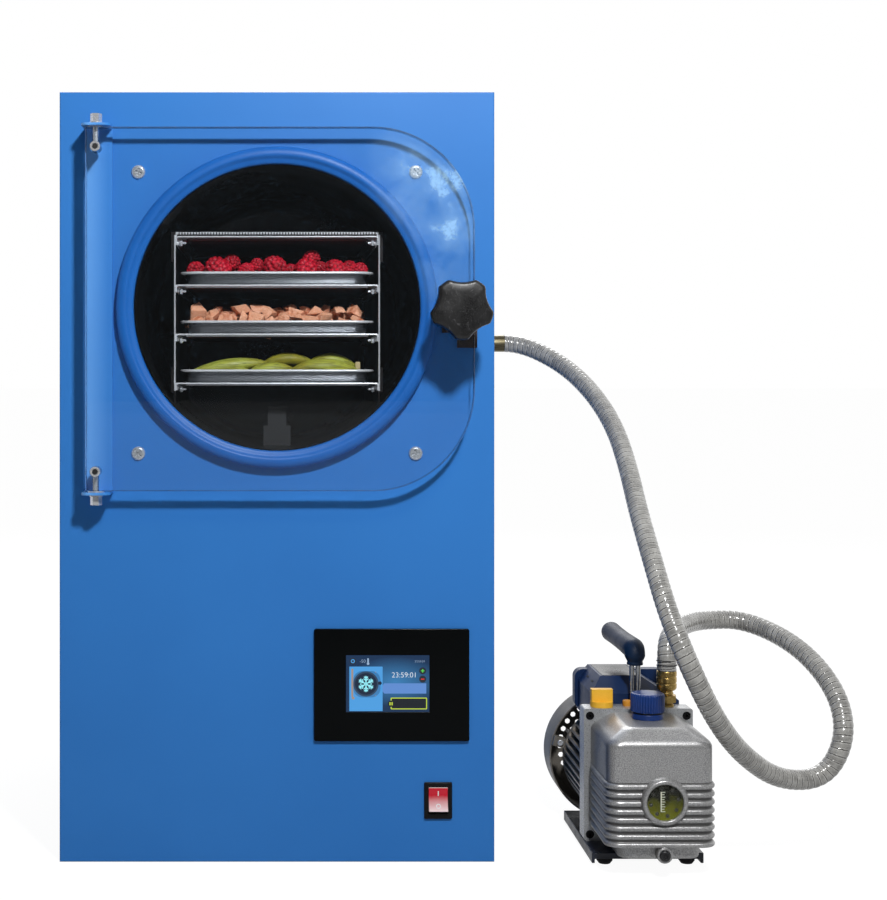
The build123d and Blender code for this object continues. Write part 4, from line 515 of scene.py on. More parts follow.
mottled("label_grey", "", (66, 64, 66), (52, 50, 52), 0.30, 0.1, 30.0)
mottled("plug_yellow", "exhaust_plug", (250, 196, 60), (240, 180, 46), 0.45, 0.1, 60.0, 700.0, 0.05)
mottled("plug_orange", "", (214, 148, 44), (190, 124, 36), 0.45, 0.1, 60.0)
# black rubber and wire; also the painted shade in sockets, holes and slots
mottled("black_seal_and_shade", "temperature_sensor oil_cap_seal", (10, 10, 12), (20, 20, 22), 0.6)
brushed("turned_brass", "inlet_fitting", (206, 178, 112), (142, 112, 58), 0.24, 0.2, (500.0, 500.0, 2500.0))
# white print; also the painted highlight on the switch frame's top edge
mottled("print_white_and_highlight", "", (236, 238, 240), (222, 224, 226), 0.5)
mottled("stub_straw", "", (206, 188, 140), (178, 158, 108), 0.7)

# ------------------------------------------------------------------ hose, in metres
# the same route as in the part's source
hose_route = [(x * MM, (depth - 260.0) * MM, z * MM) for x, depth, z in [
    (263, 270, 523.5), (283, 270, 523.5), (325, 238, 500), (349, 183, 469), (363, 128, 432), (367, 76, 390),
    (367, 24, 346), (370, -28, 302), (376, -64, 258), (392, -84, 210), (420, -72, 156), (456, -38, 114),
    (502, -4, 82), (550, 6, 82), (571, 4, 124), (570, 30, 166), (548, 84, 203), (508, 144, 222), (460, 140, 222),
    (428, 100, 222), (406, 60, 218), (399.5, 43, 203), (399.5, 43, 184.4)]]
hose_radius, hose_pitch, hose_sides = 10.0 * MM, 6.6 * MM, 22


def smooth_line(points):
    """Points of the NURBS spline of order 3 that has these as its control points."""
    data = bpy.data.curves.new("guide", "CURVE")
    data.dimensions = "3D"
    data.resolution_u = 40
    spline = data.splines.new("NURBS")
    spline.points.add(len(points) - 1)
    for knot, place in zip(spline.points, points):
        knot.co = (*place, 1.0)
    spline.order_u = 3
    spline.use_endpoint_u = True
    guide = placed("guide", data)
    bpy.context.view_layer.update()
    mesh = bpy.data.meshes.new_from_object(guide)
    line = np.empty(len(mesh.vertices) * 3)
    mesh.vertices.foreach_get("co", line)
    bpy.data.objects.remove(guide)
    bpy.data.meshes.remove(mesh)
    return line.reshape(-1, 3)


def spaced(line, step):
    """The line read again at even steps along its length, and those lengths."""
    along = np.concatenate([[0.0], np.cumsum(np.linalg.norm(np.diff(line, axis=0), axis=1))])
    at = np.linspace(0.0, along[-1], max(2, int(round(along[-1] / step)) + 1))
    return np.stack([np.interp(at, along, line[:, k]) for k in range(3)], axis=1), at


def hose_finish():
    """Clear plastic with a steel wire wound in its wall; the winding comes from the hose's own map."""
    make = Finish("wound_hose")
    turn = make.maths("FRACT", make.parts(make.add("UVMap", uv_map="winding").outputs[0])[0])
    off_wire = make.off(turn, 0.5)
    wire = make.ranged(off_wire, 0.055, 0.095, 1.0, 0.0)
    # painted highlight: a pale band on each side of a wire turn
    wire_side_highlight = make.ranged(off_wire, 0.08, 0.26, 1.0, 0.0)
    clouds = make.noise(90.0, 3.0)
    wall = make.fade(clouds, 0.35, 0.65, (168, 167, 163), (128, 127, 124))
    wall = make.mix(make.times(wire_side_highlight, 0.55), wall, (204, 203, 199))
    make.done(make.mix(make.times(wire, 0.85), wall, (84, 82, 80)),
              (clouds, 0.16, 0.30), (wire, 0.4, 0.0004),
              Metallic=make.times(wire, 0.5), IOR=1.53, Coat_Weight=0.5, Coat_Roughness=0.08)


# the wall dips between the turns of its wire: the radius less a depth times the square of a rounded wave
# of length over pitch less angle over a full turn
hose_line, hose_along = spaced(smooth_line(hose_route), hose_pitch / 9)
hose_turn = np.linspace(0, TAU, hose_sides, endpoint=False)[None, :] / TAU
wave = 0.5 - 0.5 * np.cos(TAU * (hose_along[:, None] / hose_pitch - hose_turn))
hose_points, hose_faces = tube(hose_line, hose_radius - 0.35 * MM * wave ** 2, hose_sides)
hose_mesh = bpy.data.meshes.new("vacuum_hose_skin")
hose_mesh.from_pydata(hose_points.tolist(), [], hose_faces)
corner_row, corner_side = np.divmod(np.concatenate([np.array(face) for face in hose_faces]), hose_sides)
# a corner on the seam belongs to the turn's end where its face's other corners are near the end
face_size = np.array([len(face) for face in hose_faces])
highest = np.maximum.reduceat(corner_side, np.cumsum(face_size) - face_size)
at_seam = (corner_side == 0) & np.repeat((highest == hose_sides - 1) & (face_size == 4), face_size)
corner_turn = np.where(at_seam, hose_sides, corner_side) / hose_sides
winding = np.stack([hose_along[corner_row] / hose_pitch - corner_turn, corner_turn], axis=1)
hose_mesh.uv_layers.new(name="winding").data.foreach_set("uv", winding.ravel())
hose_mesh.shade_smooth()
hose_finish()
hose = finished(hose_mesh, "vacuum_hose_skin", "wound_hose", "cabinet", ("vacuum_hose",))

# ------------------------------------------------------------------ door: clear plate
door_low, door_high = box("door_panel")
veil_y = -0.299


def acrylic():
    """Clear plate. Lamp light, and light that has bounced behind it, passes straight through its faces
    and the front part of its edges; the rear part of the edges holds light back, as the bend inside
    the plate would.
    A pale veil with blotches lies near the upper right corner."""
    make = Finish("clear_acrylic")
    across, depth, _ = make.parts(make.where())
    haze = make.noise(7.0, 5.0, Roughness=0.6)
    marks = make.group(scuffs.tree, {"Length": (260.0, 60.0, 700.0)})[0]
    tint = make.fade(haze, 0.4, 0.7, (0.95, 0.97, 0.99, 1.0), (0.90, 0.94, 0.98, 1.0))
    rough = make.maths("MULTIPLY_ADD", marks, 0.08, make.ranged(haze, 0.42, 0.70, 0.010, 0.05))
    make.done(tint, rough, Transmission_Weight=1.0, IOR=1.49)

    # polished edges are painted dark navy: painted shade for the light that the plate bends away from them
    facing = make.parts(make.shape("True Normal"))[1]
    level = make.maths("ABSOLUTE", facing)
    edge = make.add("BsdfPrincipled", {"Base Color": srgb(24, 40, 66), "Roughness": 0.22, "Specular IOR Level": 0.35})
    share = make.times(make.ranged(level, 0.98, 0.5),
                       make.ranged(make.noise(40.0), 0.3, 0.7, 0.60, 0.80))
    body = make.blend(share, make.shader.outputs[0], edge.outputs[0])

    # pale veil: noise inside soft round masks, only on the front face and outside the ring seal
    veil_grain = make.noise(34.0, 9.0, Roughness=0.66, Distortion=0.15)
    veil = 0.0
    for x, z, reach, strength in ((0.166, 0.675, 0.036, 1.0), (0.172, 0.630, 0.046, 0.60), (0.130, 0.694, 0.052, 0.42),
                                  (0.128, 0.648, 0.056, 0.42), (0.152, 0.588, 0.056, 0.34)):
        spot = make.ranged(make.far(x, veil_y, z), reach * 0.15, reach, strength, 0.0)
        veil = make.most(veil, spot)
    # a soft film, and crisp patches where noise and the spot's strength together pass a threshold
    film = make.times(veil, make.ranged(veil_grain, 0.32, 0.62), 0.62)
    blotch = make.ranged(make.maths("ADD", veil_grain, make.times(veil, 0.36)), 0.69, 0.84)
    blotch = make.most(film, make.times(blotch, 0.8))
    veil = make.times(make.ranged(veil, 0.0, 0.15),
                      make.ranged(make.far(0.0, veil_y, 0.554), 0.142, 0.154))
    front = make.maths("LESS_THAN", facing, -0.7)
    share = make.times(make.most(make.times(veil, blotch, front), make.times(marks, 0.07, front)), 0.66)
    body = make.blend(share, body, make.add("BsdfDiffuse", {"Color": srgb(176, 220, 255)}).outputs[0])

    # light passes the faces, and the edges up to 9 mm from the back except near the hinge
    forward = make.times(make.maths("LESS_THAN", depth, (door_high[1] - 9.0) * MM),
                         make.maths("GREATER_THAN", across, -0.184))
    passable = make.most(make.maths("GREATER_THAN", level, 0.5), forward)
    bounced = make.times(make.paths("Diffuse", "Glossy"),
                         make.maths("SUBTRACT", 1.0, make.paths("Transmission")))
    lets_by = make.times(passable, make.most(make.paths("Shadow"), bounced))
    clear = make.add("BsdfTransparent", {"Color": (0.94, 0.96, 0.98, 1.0)})
    make.show(make.blend(lets_by, body, clear.outputs[0]))


acrylic()
softened("door_plate", "door_panel", "clear_acrylic", 0.7, 2, "door")

# ------------------------------------------------------------------ ring seal and chamber
chamber_z, front_y = 554.0, -260.0
# soft round-backed ring: an outer lip, a broad crown against the door and a lower inner lip
seal_profile = [(159.5, 0), (159.5, 7.5)]
seal_profile += [(151.6 + 7.9 * math.cos(a), 7.5 + 6.2 * math.sin(a)) for a in np.linspace(0.12, 1.75, 12)]
seal_profile += [(149.2, 13.0), (148.2, 12.2), (147.2, 11.4), (145.4, 10.9), (143.6, 10.5), (142.4, 9.6), (142.0, 8.2),
                 (142.0, 0)]
piece("ring_seal", lathe(seal_profile, (0, front_y, chamber_z), FRONT, 160, closed=True), "gasket_blue",
      ("door_gasket",), 50)

# liner inside the chamber wall: a thin drawn shell with a rolled bead, closed by a dished back; its faces
# look inwards
liner_profile = [(140.9, 8.0)] + [(140.6 - 0.7 * math.exp(-((depth - 250.0) / 4.0) ** 2), -depth)
                                  for depth in np.linspace(0, 300, 61)]
liner_profile += [(140.6 - 20 * (1 - math.cos(a)), -300.0 - 18.0 * math.sin(a))
                  for a in np.linspace(0.2, math.pi / 2, 8)] + [(0.0, -319.5)]
liner_points, liner_faces = lathe(liner_profile, (0, front_y, chamber_z), FRONT, 120, cap=False)
liner_mesh = bpy.data.meshes.new("chamber_liner")
liner_mesh.from_pydata((liner_points * MM).tolist(), [], [face[::-1] for face in liner_faces])
liner_mesh.shade_smooth()
# the liner takes the chamber's near-black painted shade
finished(liner_mesh, "chamber_liner", "chamber_painted_shade", "cabinet")

# ------------------------------------------------------------------ rack details
shelves = ("shelf_upper", "shelf_middle", "shelf_lower")
shelf_tops = {name: box(name)[1][2] for name in shelves}
(rack_left, rack_front, _), (rack_right, _, rack_top) = box("rack_top")
piece("rack_top_teeth", [slab((x, rack_front - 0.2, rack_top - 1.3), FRONT, 0.85, 1.15, 0.8, 0.3, 0.2, 2, 1)
                         for x in np.linspace(rack_left + 2, rack_right - 2, 70)], "rack_steel")
# a thin dark strip below the teeth: painted shade of the gap under the rack top
piece("rack_top_gap_shade", slab((0, rack_front, rack_top - 2.7), FRONT, rack_right - 1.5, 2.4, 0.25, 0.3, 0.05),
      "side_steel_and_gap_shade")
# rolled front edges with their ends turned down, and a rounded line on each post, bright with the rack steel's painted
# sheen
strips = []
turn = np.linspace(0, math.pi / 2, 6)
for name in (*shelves, "rack_top"):
    low, high = box(name)
    edge_z = high[2] - (0.8 if name != "rack_top" else 4.7)
    half, bend = (high[0] - low[0]) / 2 - 0.6, 2.4
    left = [(-half, edge_z - 7.0)] + [(-half + bend * (1 - math.cos(a)), edge_z - bend + bend * math.sin(a))
                                      for a in turn]
    strips.append(tube([(x, low[1], z) for x, z in left] + [(-x, low[1], z) for x, z in left[::-1]], 0.75, 8))
for x in (-102.9, 102.9):
    strips.append(tube([(x, rack_front, z) for z in (rack_top - 3, 540, 471)], 0.85, 8))
piece("rack_bright_edges", strips, "rack_steel")
mats, nuts = [], []
for name in (*shelves, "rack_top"):
    low, high = box(name)
    drop, thickness, edge, nut_drop = (7.3, 1.6, 0.3, 10.6) if name == "rack_top" else (3.3, 0.35, 0.1, 6.6)
    mats.append(slab((0, (low[1] + high[1]) / 2, high[2] - drop), UP, 91.6, 127.2, thickness, 6, edge))
    for side in (-1, 1):
        place, inwards = (side * 98.2, rack_front + 7, high[2] - nut_drop), ((0, 1, 0), (0, 0, 1), (-side, 0, 0))
        nuts.append(prism(hexagon(5.5), place, inwards, 3.0, 0.5))
        nuts.append(lathe([(1.3, 0), (1.3, 6), (0.9, 6.4)], place, inwards, 12))
piece("heater_mats", mats, "heater_mat_brown")
piece("rack_nuts", nuts, "bright_steel")


def tray_finish():
    """Drawn steel: darker walls with painted shade deepening toward their ends, and a rolled rim on each tray painted
    near white as a painted reflection.
    """
    make = Finish("tray_steel")
    across, _, height = make.parts(make.where())
    drawn = make.noise(1.0, stretch=(6.0, 6.0, 900.0))
    rim_reflection = 0.0
    for level in ("upper", "middle", "lower"):
        off_rim = make.off(height, (box("tray_" + level)[0][2] + 12.4) * MM)
        rim_reflection = make.most(rim_reflection, make.ranged(off_rim, 1.3 * MM, 1.8 * MM, 1.0, 0.0))
    wall = make.fade(drawn, 0.35, 0.65, (118, 119, 121), (86, 88, 91))
    # painted shade: the walls darken toward the tray's ends
    wall = make.fade(make.maths("ABSOLUTE", across), 0.070, 0.094, wall, (60, 62, 66))
    # painted reflection: the rim is near white with less metal, so it shows bright
    make.done(make.mix(rim_reflection, wall, (236, 236, 236)), (drawn, 0.20, 0.30),
              Metallic=make.ranged(rim_reflection, 0.0, 1.0, 0.85, 0.35))
    dress("tray_steel", "tray_upper tray_middle tray_lower")


tray_finish()
# pressed tray: a rounded outline carried through a profile of (inset from the rim, height)
tray_profile = [(30.0, 0.0), (10.5, 0.0), (9.2, 0.3), (8.4, 1.0), (7.8, 2.4), (5.6, 9.6), (5.0, 10.6), (3.6, 11.0)]
tray_profile += [(1.4 - 1.3 * math.cos(a), 12.1 + 1.3 * math.sin(a)) for a in np.linspace(-1.3, 2.2, 9)]
tray_profile += [(4.6, 12.4), (6.0, 11.2), (8.8, 2.4), (9.6, 1.3), (30.0, 1.0)]
tray_half_x, tray_half_y, tray_corner, tray_middle_y = 98.5, 133.2, 21.0, -106.0
tray_rings = [(rounded_outline(tray_half_x - inset, tray_half_y - inset, tray_corner - inset, 8), height)
              for inset, height in tray_profile]
for level in ("upper", "middle", "lower"):
    floor_z = box("tray_" + level)[0][2]
    piece("pressed_tray_" + level, lofted(tray_rings, (0, tray_middle_y, floor_z)), "tray_steel",
          ("tray_" + level,), 40)

# ------------------------------------------------------------------ food
food_front_y = -232.0
food_floor = {name: top + 1.2 for name, top in shelf_tops.items()}
picker, lump_picker = np.random.default_rng(11), np.random.default_rng(5)


def berry_shape(centre, radius, lean, turn, seed, rows=54, sides=72):
    """Raspberry: an egg covered in round beads set in staggered rings. A point of the egg is drawn out
    by the square root of one less its squared distance from the nearest bead's middle."""
    generator = np.random.default_rng(seed)
    size = np.array([radius, radius, radius * 1.12])
    beads, lift, ring = [], -1.35, 0
    while lift < 1.5:
        count = max(1, round(TAU * math.cos(lift) / 0.47))
        for number in range(count):
            around = TAU * (number + 0.5 * (ring % 2) + generator.uniform(-0.18, 0.18)) / count
            level = lift + generator.uniform(-0.07, 0.07)
            beads.append((math.cos(level) * math.cos(around), math.cos(level) * math.sin(around), math.sin(level)))
        lift += 0.40 * radius / math.hypot(radius * math.sin(lift), size[2] * math.cos(lift))
        ring += 1
    rise = np.linspace(-1.5, 1.54, rows)[:, None]
    angle = np.linspace(0, TAU, sides, endpoint=False)[None, :] + 0 * rise
    local = size * np.stack([np.cos(rise) * np.cos(angle), np.cos(rise) * np.sin(angle),
                             np.sin(rise) + 0 * angle], axis=-1)
    apart = np.sqrt(((local[:, :, None, :] - np.array(beads) * size) ** 2).sum(axis=-1)).min(axis=-1)
    local *= (0.78 + 0.22 * np.sqrt(np.clip(1 - (apart / (0.26 * radius)) ** 2, 0, 1)))[..., None]
    c, s = math.cos(lean), math.sin(lean)
    tip = np.array([[1, 0, 0], [0, c, -s], [0, s, c]])
    c, s = math.cos(turn), math.sin(turn)
    spin = np.array([[c, -s, 0], [s, c, 0], [0, 0, 1]])
    return grid(np.asarray(centre) + local @ (spin @ tip).T, close_columns=True, cap=True)


def berry_finish():
    """Frosted red skin: red beads, painted shade darkening the gaps between them, and pale frost specks."""
    make = Finish("berry_skin")
    fine = make.noise(900.0, 3.0)
    flesh = make.fade(make.noise(60.0), 0.38, 0.62, (220, 22, 50), (170, 6, 30))
    # painted shade: dark red where the skin is hollow, in the gaps between beads
    flesh = make.fade(make.shape("Pointiness"), 0.40, 0.54, (70, 0, 10), flesh)
    frost = make.times(make.ranged(fine, 0.60, 0.74), 0.22)
    make.done(make.mix(frost, flesh, (244, 130, 150)), (fine, 0.28, 0.6), (fine, 0.5, 0.0005),
              Specular_IOR_Level=0.3, Subsurface_Weight=0.12, Subsurface_Radius=(0.004, 0.0008, 0.0006))


berries = []
# across, radius, height of its top and distance behind the front row
for x, radius, top, back in (
        (-83, 10, 24, 12), (-60, 13.5, 29, 0), (-46, 9, 32, 14), (-31.5, 8.5, 22, 0), (-20.5, 7.5, 27, 8),
        (-2, 13, 30, 2), (14, 8.5, 22, 12), (29.5, 13, 27, 0), (35, 9.5, 36, 12), (45, 7, 24, 6), (60, 12.5, 26, 0),
        (74, 8.5, 25, 12), (84, 8.5, 23, 10)):
    number = len(berries)
    lean = (0.5 + 0.6 * math.sin(2.3 * number) ** 2) * (-1) ** number
    centre = (x, food_front_y + radius + back, food_floor["shelf_upper"] + top - 1.05 * radius)
    berries.append(berry_shape(centre, radius, lean, 1.7 * number, number))
for row, column in itertools.product(range(7), range(7)):
    radius = picker.uniform(9, 11.5)
    centre = ((column - 3) * 25 + picker.uniform(-4, 4), food_front_y + 48 + row * 29 + picker.uniform(-3, 3),
              food_floor["shelf_upper"] + radius * 0.95 + picker.uniform(0, 3))
    berries.append(berry_shape(centre, radius, picker.uniform(-0.9, 0.9), picker.uniform(0, 6),
                               40 + row * 9 + column, 14, 22))
berry_finish()
piece("berries", berries, "berry_skin", ("raspberries",), 80)


def chunk_shape(centre, size, seed):
    """Cut lump: the room inside six leaning faces of a block and three corner cuts, its edges just broken.
    Its corners are the points where three of the planes meet, inside all the others."""
    generator = np.random.default_rng(seed)
    turned = np.linalg.qr(generator.standard_normal((3, 3)))[0]
    normals = np.concatenate([turned, -turned, generator.standard_normal((3, 3))])
    normals[:6] += 0.24 * generator.standard_normal((6, 3))
    normals /= np.linalg.norm(normals, axis=1)[:, None]
    distance = np.concatenate([generator.uniform(0.78, 1.0, 6), generator.uniform(0.95, 1.15, 3)])
    threes = np.array(list(itertools.combinations(range(9), 3)))
    threes = threes[np.abs(np.linalg.det(normals[threes])) > 0.05]
    corners = np.linalg.solve(normals[threes], distance[threes][..., None])[..., 0]
    corners = corners[(corners @ normals.T <= distance + 1e-6).all(axis=1) & (np.abs(corners).max(axis=1) < 1.45)]
    hull = bmesh.new()
    for corner in corners:
        hull.verts.new(corner)
    bmesh.ops.remove_doubles(hull, verts=hull.verts, dist=0.03)
    inner = bmesh.ops.convex_hull(hull, input=hull.verts)["geom_interior"]
    bmesh.ops.delete(hull, geom=[v for v in inner if isinstance(v, bmesh.types.BMVert)], context="VERTS")
    bmesh.ops.dissolve_limit(hull, angle_limit=0.03, verts=hull.verts, edges=hull.edges)
    bmesh.ops.bevel(hull, geom=hull.edges, offset=0.06, segments=1, affect="EDGES", clamp_overlap=True)
    hull.verts.index_update()
    points = np.array([v.co for v in hull.verts])
    faces = [[v.index for v in face.verts] for face in hull.faces]
    hull.free()
    return np.asarray(centre) + points * np.asarray(size), faces


def fish_finish():
    """Dried fish: pale pink-orange faces with darker orange-brown edges and patches."""
    make = Finish("fish_flesh")
    threads = make.noise(1.0, stretch=(500.0, 160.0, 1400.0))
    pale = make.fade(threads, 0.35, 0.65, (250, 196, 162), (238, 164, 122))
    pale = make.mix(make.ranged(make.shape("Pointiness"), 0.53, 0.64, 0.0, 0.35), pale, (196, 104, 58))
    patch = make.ranged(make.noise(75.0, 3.0, Distortion=1.2), 0.54, 0.68)
    make.done(make.mix(patch, pale, (190, 98, 52)), (threads, 0.5, 0.75), (threads, 0.4, 0.0004))


chunks = []
for count, low_top, high_top, depth in ((12, 14.0, 22.0, 9.0), (12, 21.0, 30.0, 20.0), (11, 24.0, 32.0, 32.0)):
    for column in range(count):
        x = (column + 0.5) / count * 176.0 - 88.0 + lump_picker.uniform(-2.5, 2.5)
        half = [lump_picker.uniform(*span) for span in ((5.5, 9.0), (5.5, 7.5), (5.0, 7.5))]
        top = lump_picker.uniform(low_top, high_top)
        centre = (x, food_front_y + depth + lump_picker.uniform(-1, 2), food_floor["shelf_middle"] + top - half[2])
        chunks.append(chunk_shape(centre, half, 300 + len(chunks)))
for row, column in itertools.product(range(7), range(8)):
    centre = ((column - 3.5) * 23 + picker.uniform(-3, 3), food_front_y + 40 + row * 30,
              food_floor["shelf_middle"] + picker.uniform(10, 14))
    half = [picker.uniform(*span) for span in ((10, 13), (11, 15), (9, 12))]
    chunks.append(chunk_shape(centre, half, 200 + row * 11 + column))
fish_finish()
piece("fish", chunks, "fish_flesh", ("fish_chunks",), 24)


def pod_shape(start, end, half_width, half_height, arch, seed, rows=40, sides=24):
    """Long husk: an oval section along an arched line, its size following sin(pi t) to a small power,
    with shallow ridges along it."""
    t = np.linspace(0.0, 1.0, rows)
    start, end = np.asarray(start, float), np.asarray(end, float)
    line = start + (end - start) * t[:, None]
    line[:, 2] += arch * np.sin(math.pi * t)
    swell = (np.sin(math.pi * np.clip(t, 0.012, 0.988)) ** 0.55)[:, None]
    angle = np.linspace(0, TAU, sides, endpoint=False)[None, :]
    ridge = 1 + 0.035 * np.cos(7 * angle + seed) + 0.02 * np.sin(13 * angle + 2 * seed)
    along = (end - start) / np.linalg.norm(end - start)
    across = np.cross((0, 0, 1), along)
    across /= np.linalg.norm(across)
    points = (line[:, None] + (half_width * swell * ridge * np.cos(angle))[..., None] * across
              + (half_height * swell * ridge * np.sin(angle))[..., None] * np.array([0, 0, 1.0]))
    return grid(points, close_columns=True, cap=True)


def pod_finish():
    """Green husk: yellow-green with fine darker lines along it and olive patches."""
    make = Finish("pod_husk")
    veins = make.noise(1.0, 3.0, stretch=(28.0, 420.0, 620.0), Distortion=0.3)
    skin = make.fade(make.noise(22.0, 3.0), 0.36, 0.64, (176, 184, 74), (152, 142, 38))
    vein = make.times(make.ranged(veins, 0.45, 0.7), 0.75)
    make.done(make.mix(vein, skin, (96, 100, 28)), (veins, 0.42, 0.62), (veins, 0.35, 0.0005))


pods, pod_floor = [], food_floor["shelf_lower"]
# front rows: both ends across and above the tray's floor, half sizes, arch and distance behind the front row
for x1, z1, x2, z2, half_width, half_height, arch, back in (
        (-90, 8, -10, 19, 10, 7.5, 2, 12), (-54, 7, -27, 9, 8, 6.5, 1, 6), (-27, 11, 17, 12, 10, 7, 1.5, 8),
        (-14, 19, 38, 19, 10, 7, 4, 22), (15, 12, 84, 10, 11, 9.5, 3, 12), (32, 19, 84, 13, 10, 8, 5, 26),
        (42, 9, 86, 6, 8, 6, 2, 4), (-84, 6, -40, 6, 8, 6, 1, 22)):
    y = food_front_y + back
    pods.append(pod_shape((x1, y, pod_floor + z1), (x2, y + 6, pod_floor + z2), half_width, half_height, arch,
                          len(pods) + 1))
for row, column in itertools.product(range(7), range(2)):
    x, y = -88 + column * 90, food_front_y + 50 + row * 28
    pods.append(pod_shape((x, y, pod_floor + 9), (x + 84, y + picker.uniform(-8, 8), pod_floor + 10), 12, 9, 3,
                          20 + row + 7 * column, 28, 16))
pod_finish()
piece("pods", pods, "pod_husk", ("green_pods",), 70)
piece("pod_stub", slab((82.5, food_front_y + 20, pod_floor + 11), UP, 2.6, 2.6, 9, 1.2, 1.0), "stub_straw")

# ------------------------------------------------------------------ door clamp
(_, knob_front, _), (_, knob_back, _) = box("clamp_knob")


def knob_finish():
    """Black plastic, scuffed grey on its face."""
    make = Finish("knob_plastic")
    source = make.group(mottle.tree, {"Colour": srgb(14, 14, 15), "Second Colour": srgb(26, 26, 27), "Roughness": 0.34,
                                      "Patches per Metre": 40.0, "Grains per Metre": 1500.0, "Spread": 0.2})
    marks = make.group(scuffs.tree, {"Length": (90.0, 90.0, 520.0)})[0]
    make.done(make.mix(make.times(marks, 0.5), source["Colour"], (104, 104, 106)), source["Roughness"],
              (source["Height"], 0.12, 0.0002))


# star handle: a circle cut by five wide, shallow waist circles. Along each direction the waist lies at the
# cut circle's near side; a high-power mean of circle and waist rounds the corners
full, waist, cut = 30.3, 25.2, 34.0
angle = np.linspace(0, TAU, 240, endpoint=False)
from_waist = (angle - (math.pi / 5 - math.pi / 2) + math.pi / 5) % (TAU / 5) - math.pi / 5
aside = (waist + cut) * np.sin(from_waist)
near = (waist + cut) * np.cos(from_waist) - np.sqrt(np.clip(cut ** 2 - aside ** 2, 0, None))
star = ((full + 0.15) ** -60.0 + near ** -60.0) ** (-1 / 60.0)
star = np.stack([star * np.cos(angle), star * np.sin(angle)], axis=1)
depth = knob_back - knob_front
knob_finish()
piece("star_knob", lofted([(scale * star, out) for scale, out in (
    (0.36, 0.0), (0.365, 2.0), (0.92, 2.15), (0.968, 2.9), (0.99, 4.2), (1.0, depth - 7.5), (0.995, depth - 4.2),
    (0.975, depth - 2.4), (0.935, depth - 1.2), (0.86, depth - 0.6), (0.6, depth - 0.25), (0.3, depth - 0.1),
    (0.02, depth - 0.05))], (178.0, knob_back, 551.0), FRONT), "knob_plastic", ("clamp_knob",), 50,
    "clamp_knob")


# ------------------------------------------------------------------ panel: screws and clamp fittings
def screw_head(centre, facing, radius, height, depth, turn=0.0):
    """Pan head as a height field over polar points: a domed disc with a cross-shaped recess."""
    rings = np.concatenate([np.linspace(0.06, 0.86, 16), np.linspace(0.90, 1.0, 6)])[:, None] * radius
    angle = np.linspace(0, TAU, 64, endpoint=False)[None, :]
    u, v = rings * np.cos(angle), rings * np.sin(angle)
    along, across = np.abs(rings * np.cos(angle - turn)), np.abs(rings * np.sin(angle - turn))
    edge = np.clip((rings / radius - 0.66) / 0.34, 0, 1)
    dome = height * np.sqrt(1 - 0.98 * edge ** 2) * np.ones_like(angle)
    arm = np.minimum(np.maximum(along / 0.13, across / 0.56), np.maximum(across / 0.13, along / 0.56))
    out = dome - depth * np.clip((radius - arm) / (0.18 * radius), 0, 1)
    rows = np.concatenate([np.stack([u, v, out], axis=-1),
                           np.stack([u[-1:], v[-1:], np.zeros((1, 64))], axis=-1)])
    return grid(laid(rows, centre, facing), close_columns=True, cap=True)


screw_places = itertools.product((-138.0, 138.0), (front_y,), (409.0, 689.0))
piece("front_screws", [screw_head(place, FRONT, 7.0, 2.9, 1.8, 0.8 + 0.5 * number)
                       for number, place in enumerate(screw_places)],
      "bright_steel", ("panel_screws",), 38)
softened("latch_plate", "latch_bracket", "latch_brown", 0.6, body="door")
# painted highlight along the hinge side: cabinet blue painted lighter, most near the door's edge
hinge_highlight = Finish("hinge_strip_painted_highlight")
hinge_highlight.done(hinge_highlight.mix(hinge_highlight.ranged(hinge_highlight.parts(hinge_highlight.where())[0], -0.186, -0.168), (98, 162, 232), (58, 132, 210)), 0.4,
           Specular_IOR_Level=0.3)
softened("hinge_plate", "hinge_bracket", "hinge_strip_painted_highlight", 0.6)
# end faces of the barrel nuts in the door: a turned rim round a flat black hexagon, painted shade for the socket's
# hollow
nut_faces = [(-178.0, door_low[1] - 0.02, height) for height in (door_low[2] + 19, door_high[2] - 19)]
socket_rim = [(4.9, -1.0), (4.9, 0.15), (4.5, 0.5), (3.3, 0.5), (3.0, 0.2), (3.0, -1.0)]
piece("nut_rims", [lathe(socket_rim, place, FRONT, 40, closed=True) for place in nut_faces], "bright_steel",
      sharp=40, body="door")
piece("nut_socket_shade", [prism(hexagon(5.0, 0.3), place, FRONT, 0.12) for place in nut_faces], "black_seal_and_shade",
      body="door")
softened("switch_frame", "switch_housing", "switch_black", 0.5)
softened("display_glass", "display_module", "display_gloss", 0.6)

# ------------------------------------------------------------------ rocker switch
# glossy red with a painted glare: the lower half, which tips up toward the lamps, is painted near white; the two blend
# where the face bends
rocker = Finish("rocker_red")
cloud = rocker.noise(160.0)
wobble = rocker.maths("MULTIPLY_ADD", cloud, 0.003, rocker.parts(rocker.where())[2])
rocker.done(rocker.mix(rocker.ranged(wobble, 0.0530, 0.0690, 1.0, 0.0), (200, 10, 40), (250, 232, 234)),
            (cloud, 0.14, 0.22))
softened("rocker_cap", "power_rocker", "rocker_red", 0.5, body="rocker")
rocker_x, rocker_y, rocker_z = 161.0, -257.0, 61.8


def on_rocker(along):
    """Place and facing on the rocker's bent face, at a distance up from its bend."""
    tilt, slope = math.radians(11.0), math.atan2(2.5, 11.6) * (1 if along > 0 else -1)
    outward = np.array([-math.cos(tilt), math.sin(tilt)])
    upward = np.array([math.sin(tilt), math.cos(tilt)])
    normal = outward * math.cos(slope) - upward * math.sin(slope)
    rise = upward * math.cos(slope) + outward * math.sin(slope)
    y, z = np.array([rocker_y, rocker_z]) + outward * (6.0 + 2.5 * abs(along) / 11.6) + upward * along
    return (rocker_x, y, z), ((1, 0, 0), (0, *rise), (0, *normal))


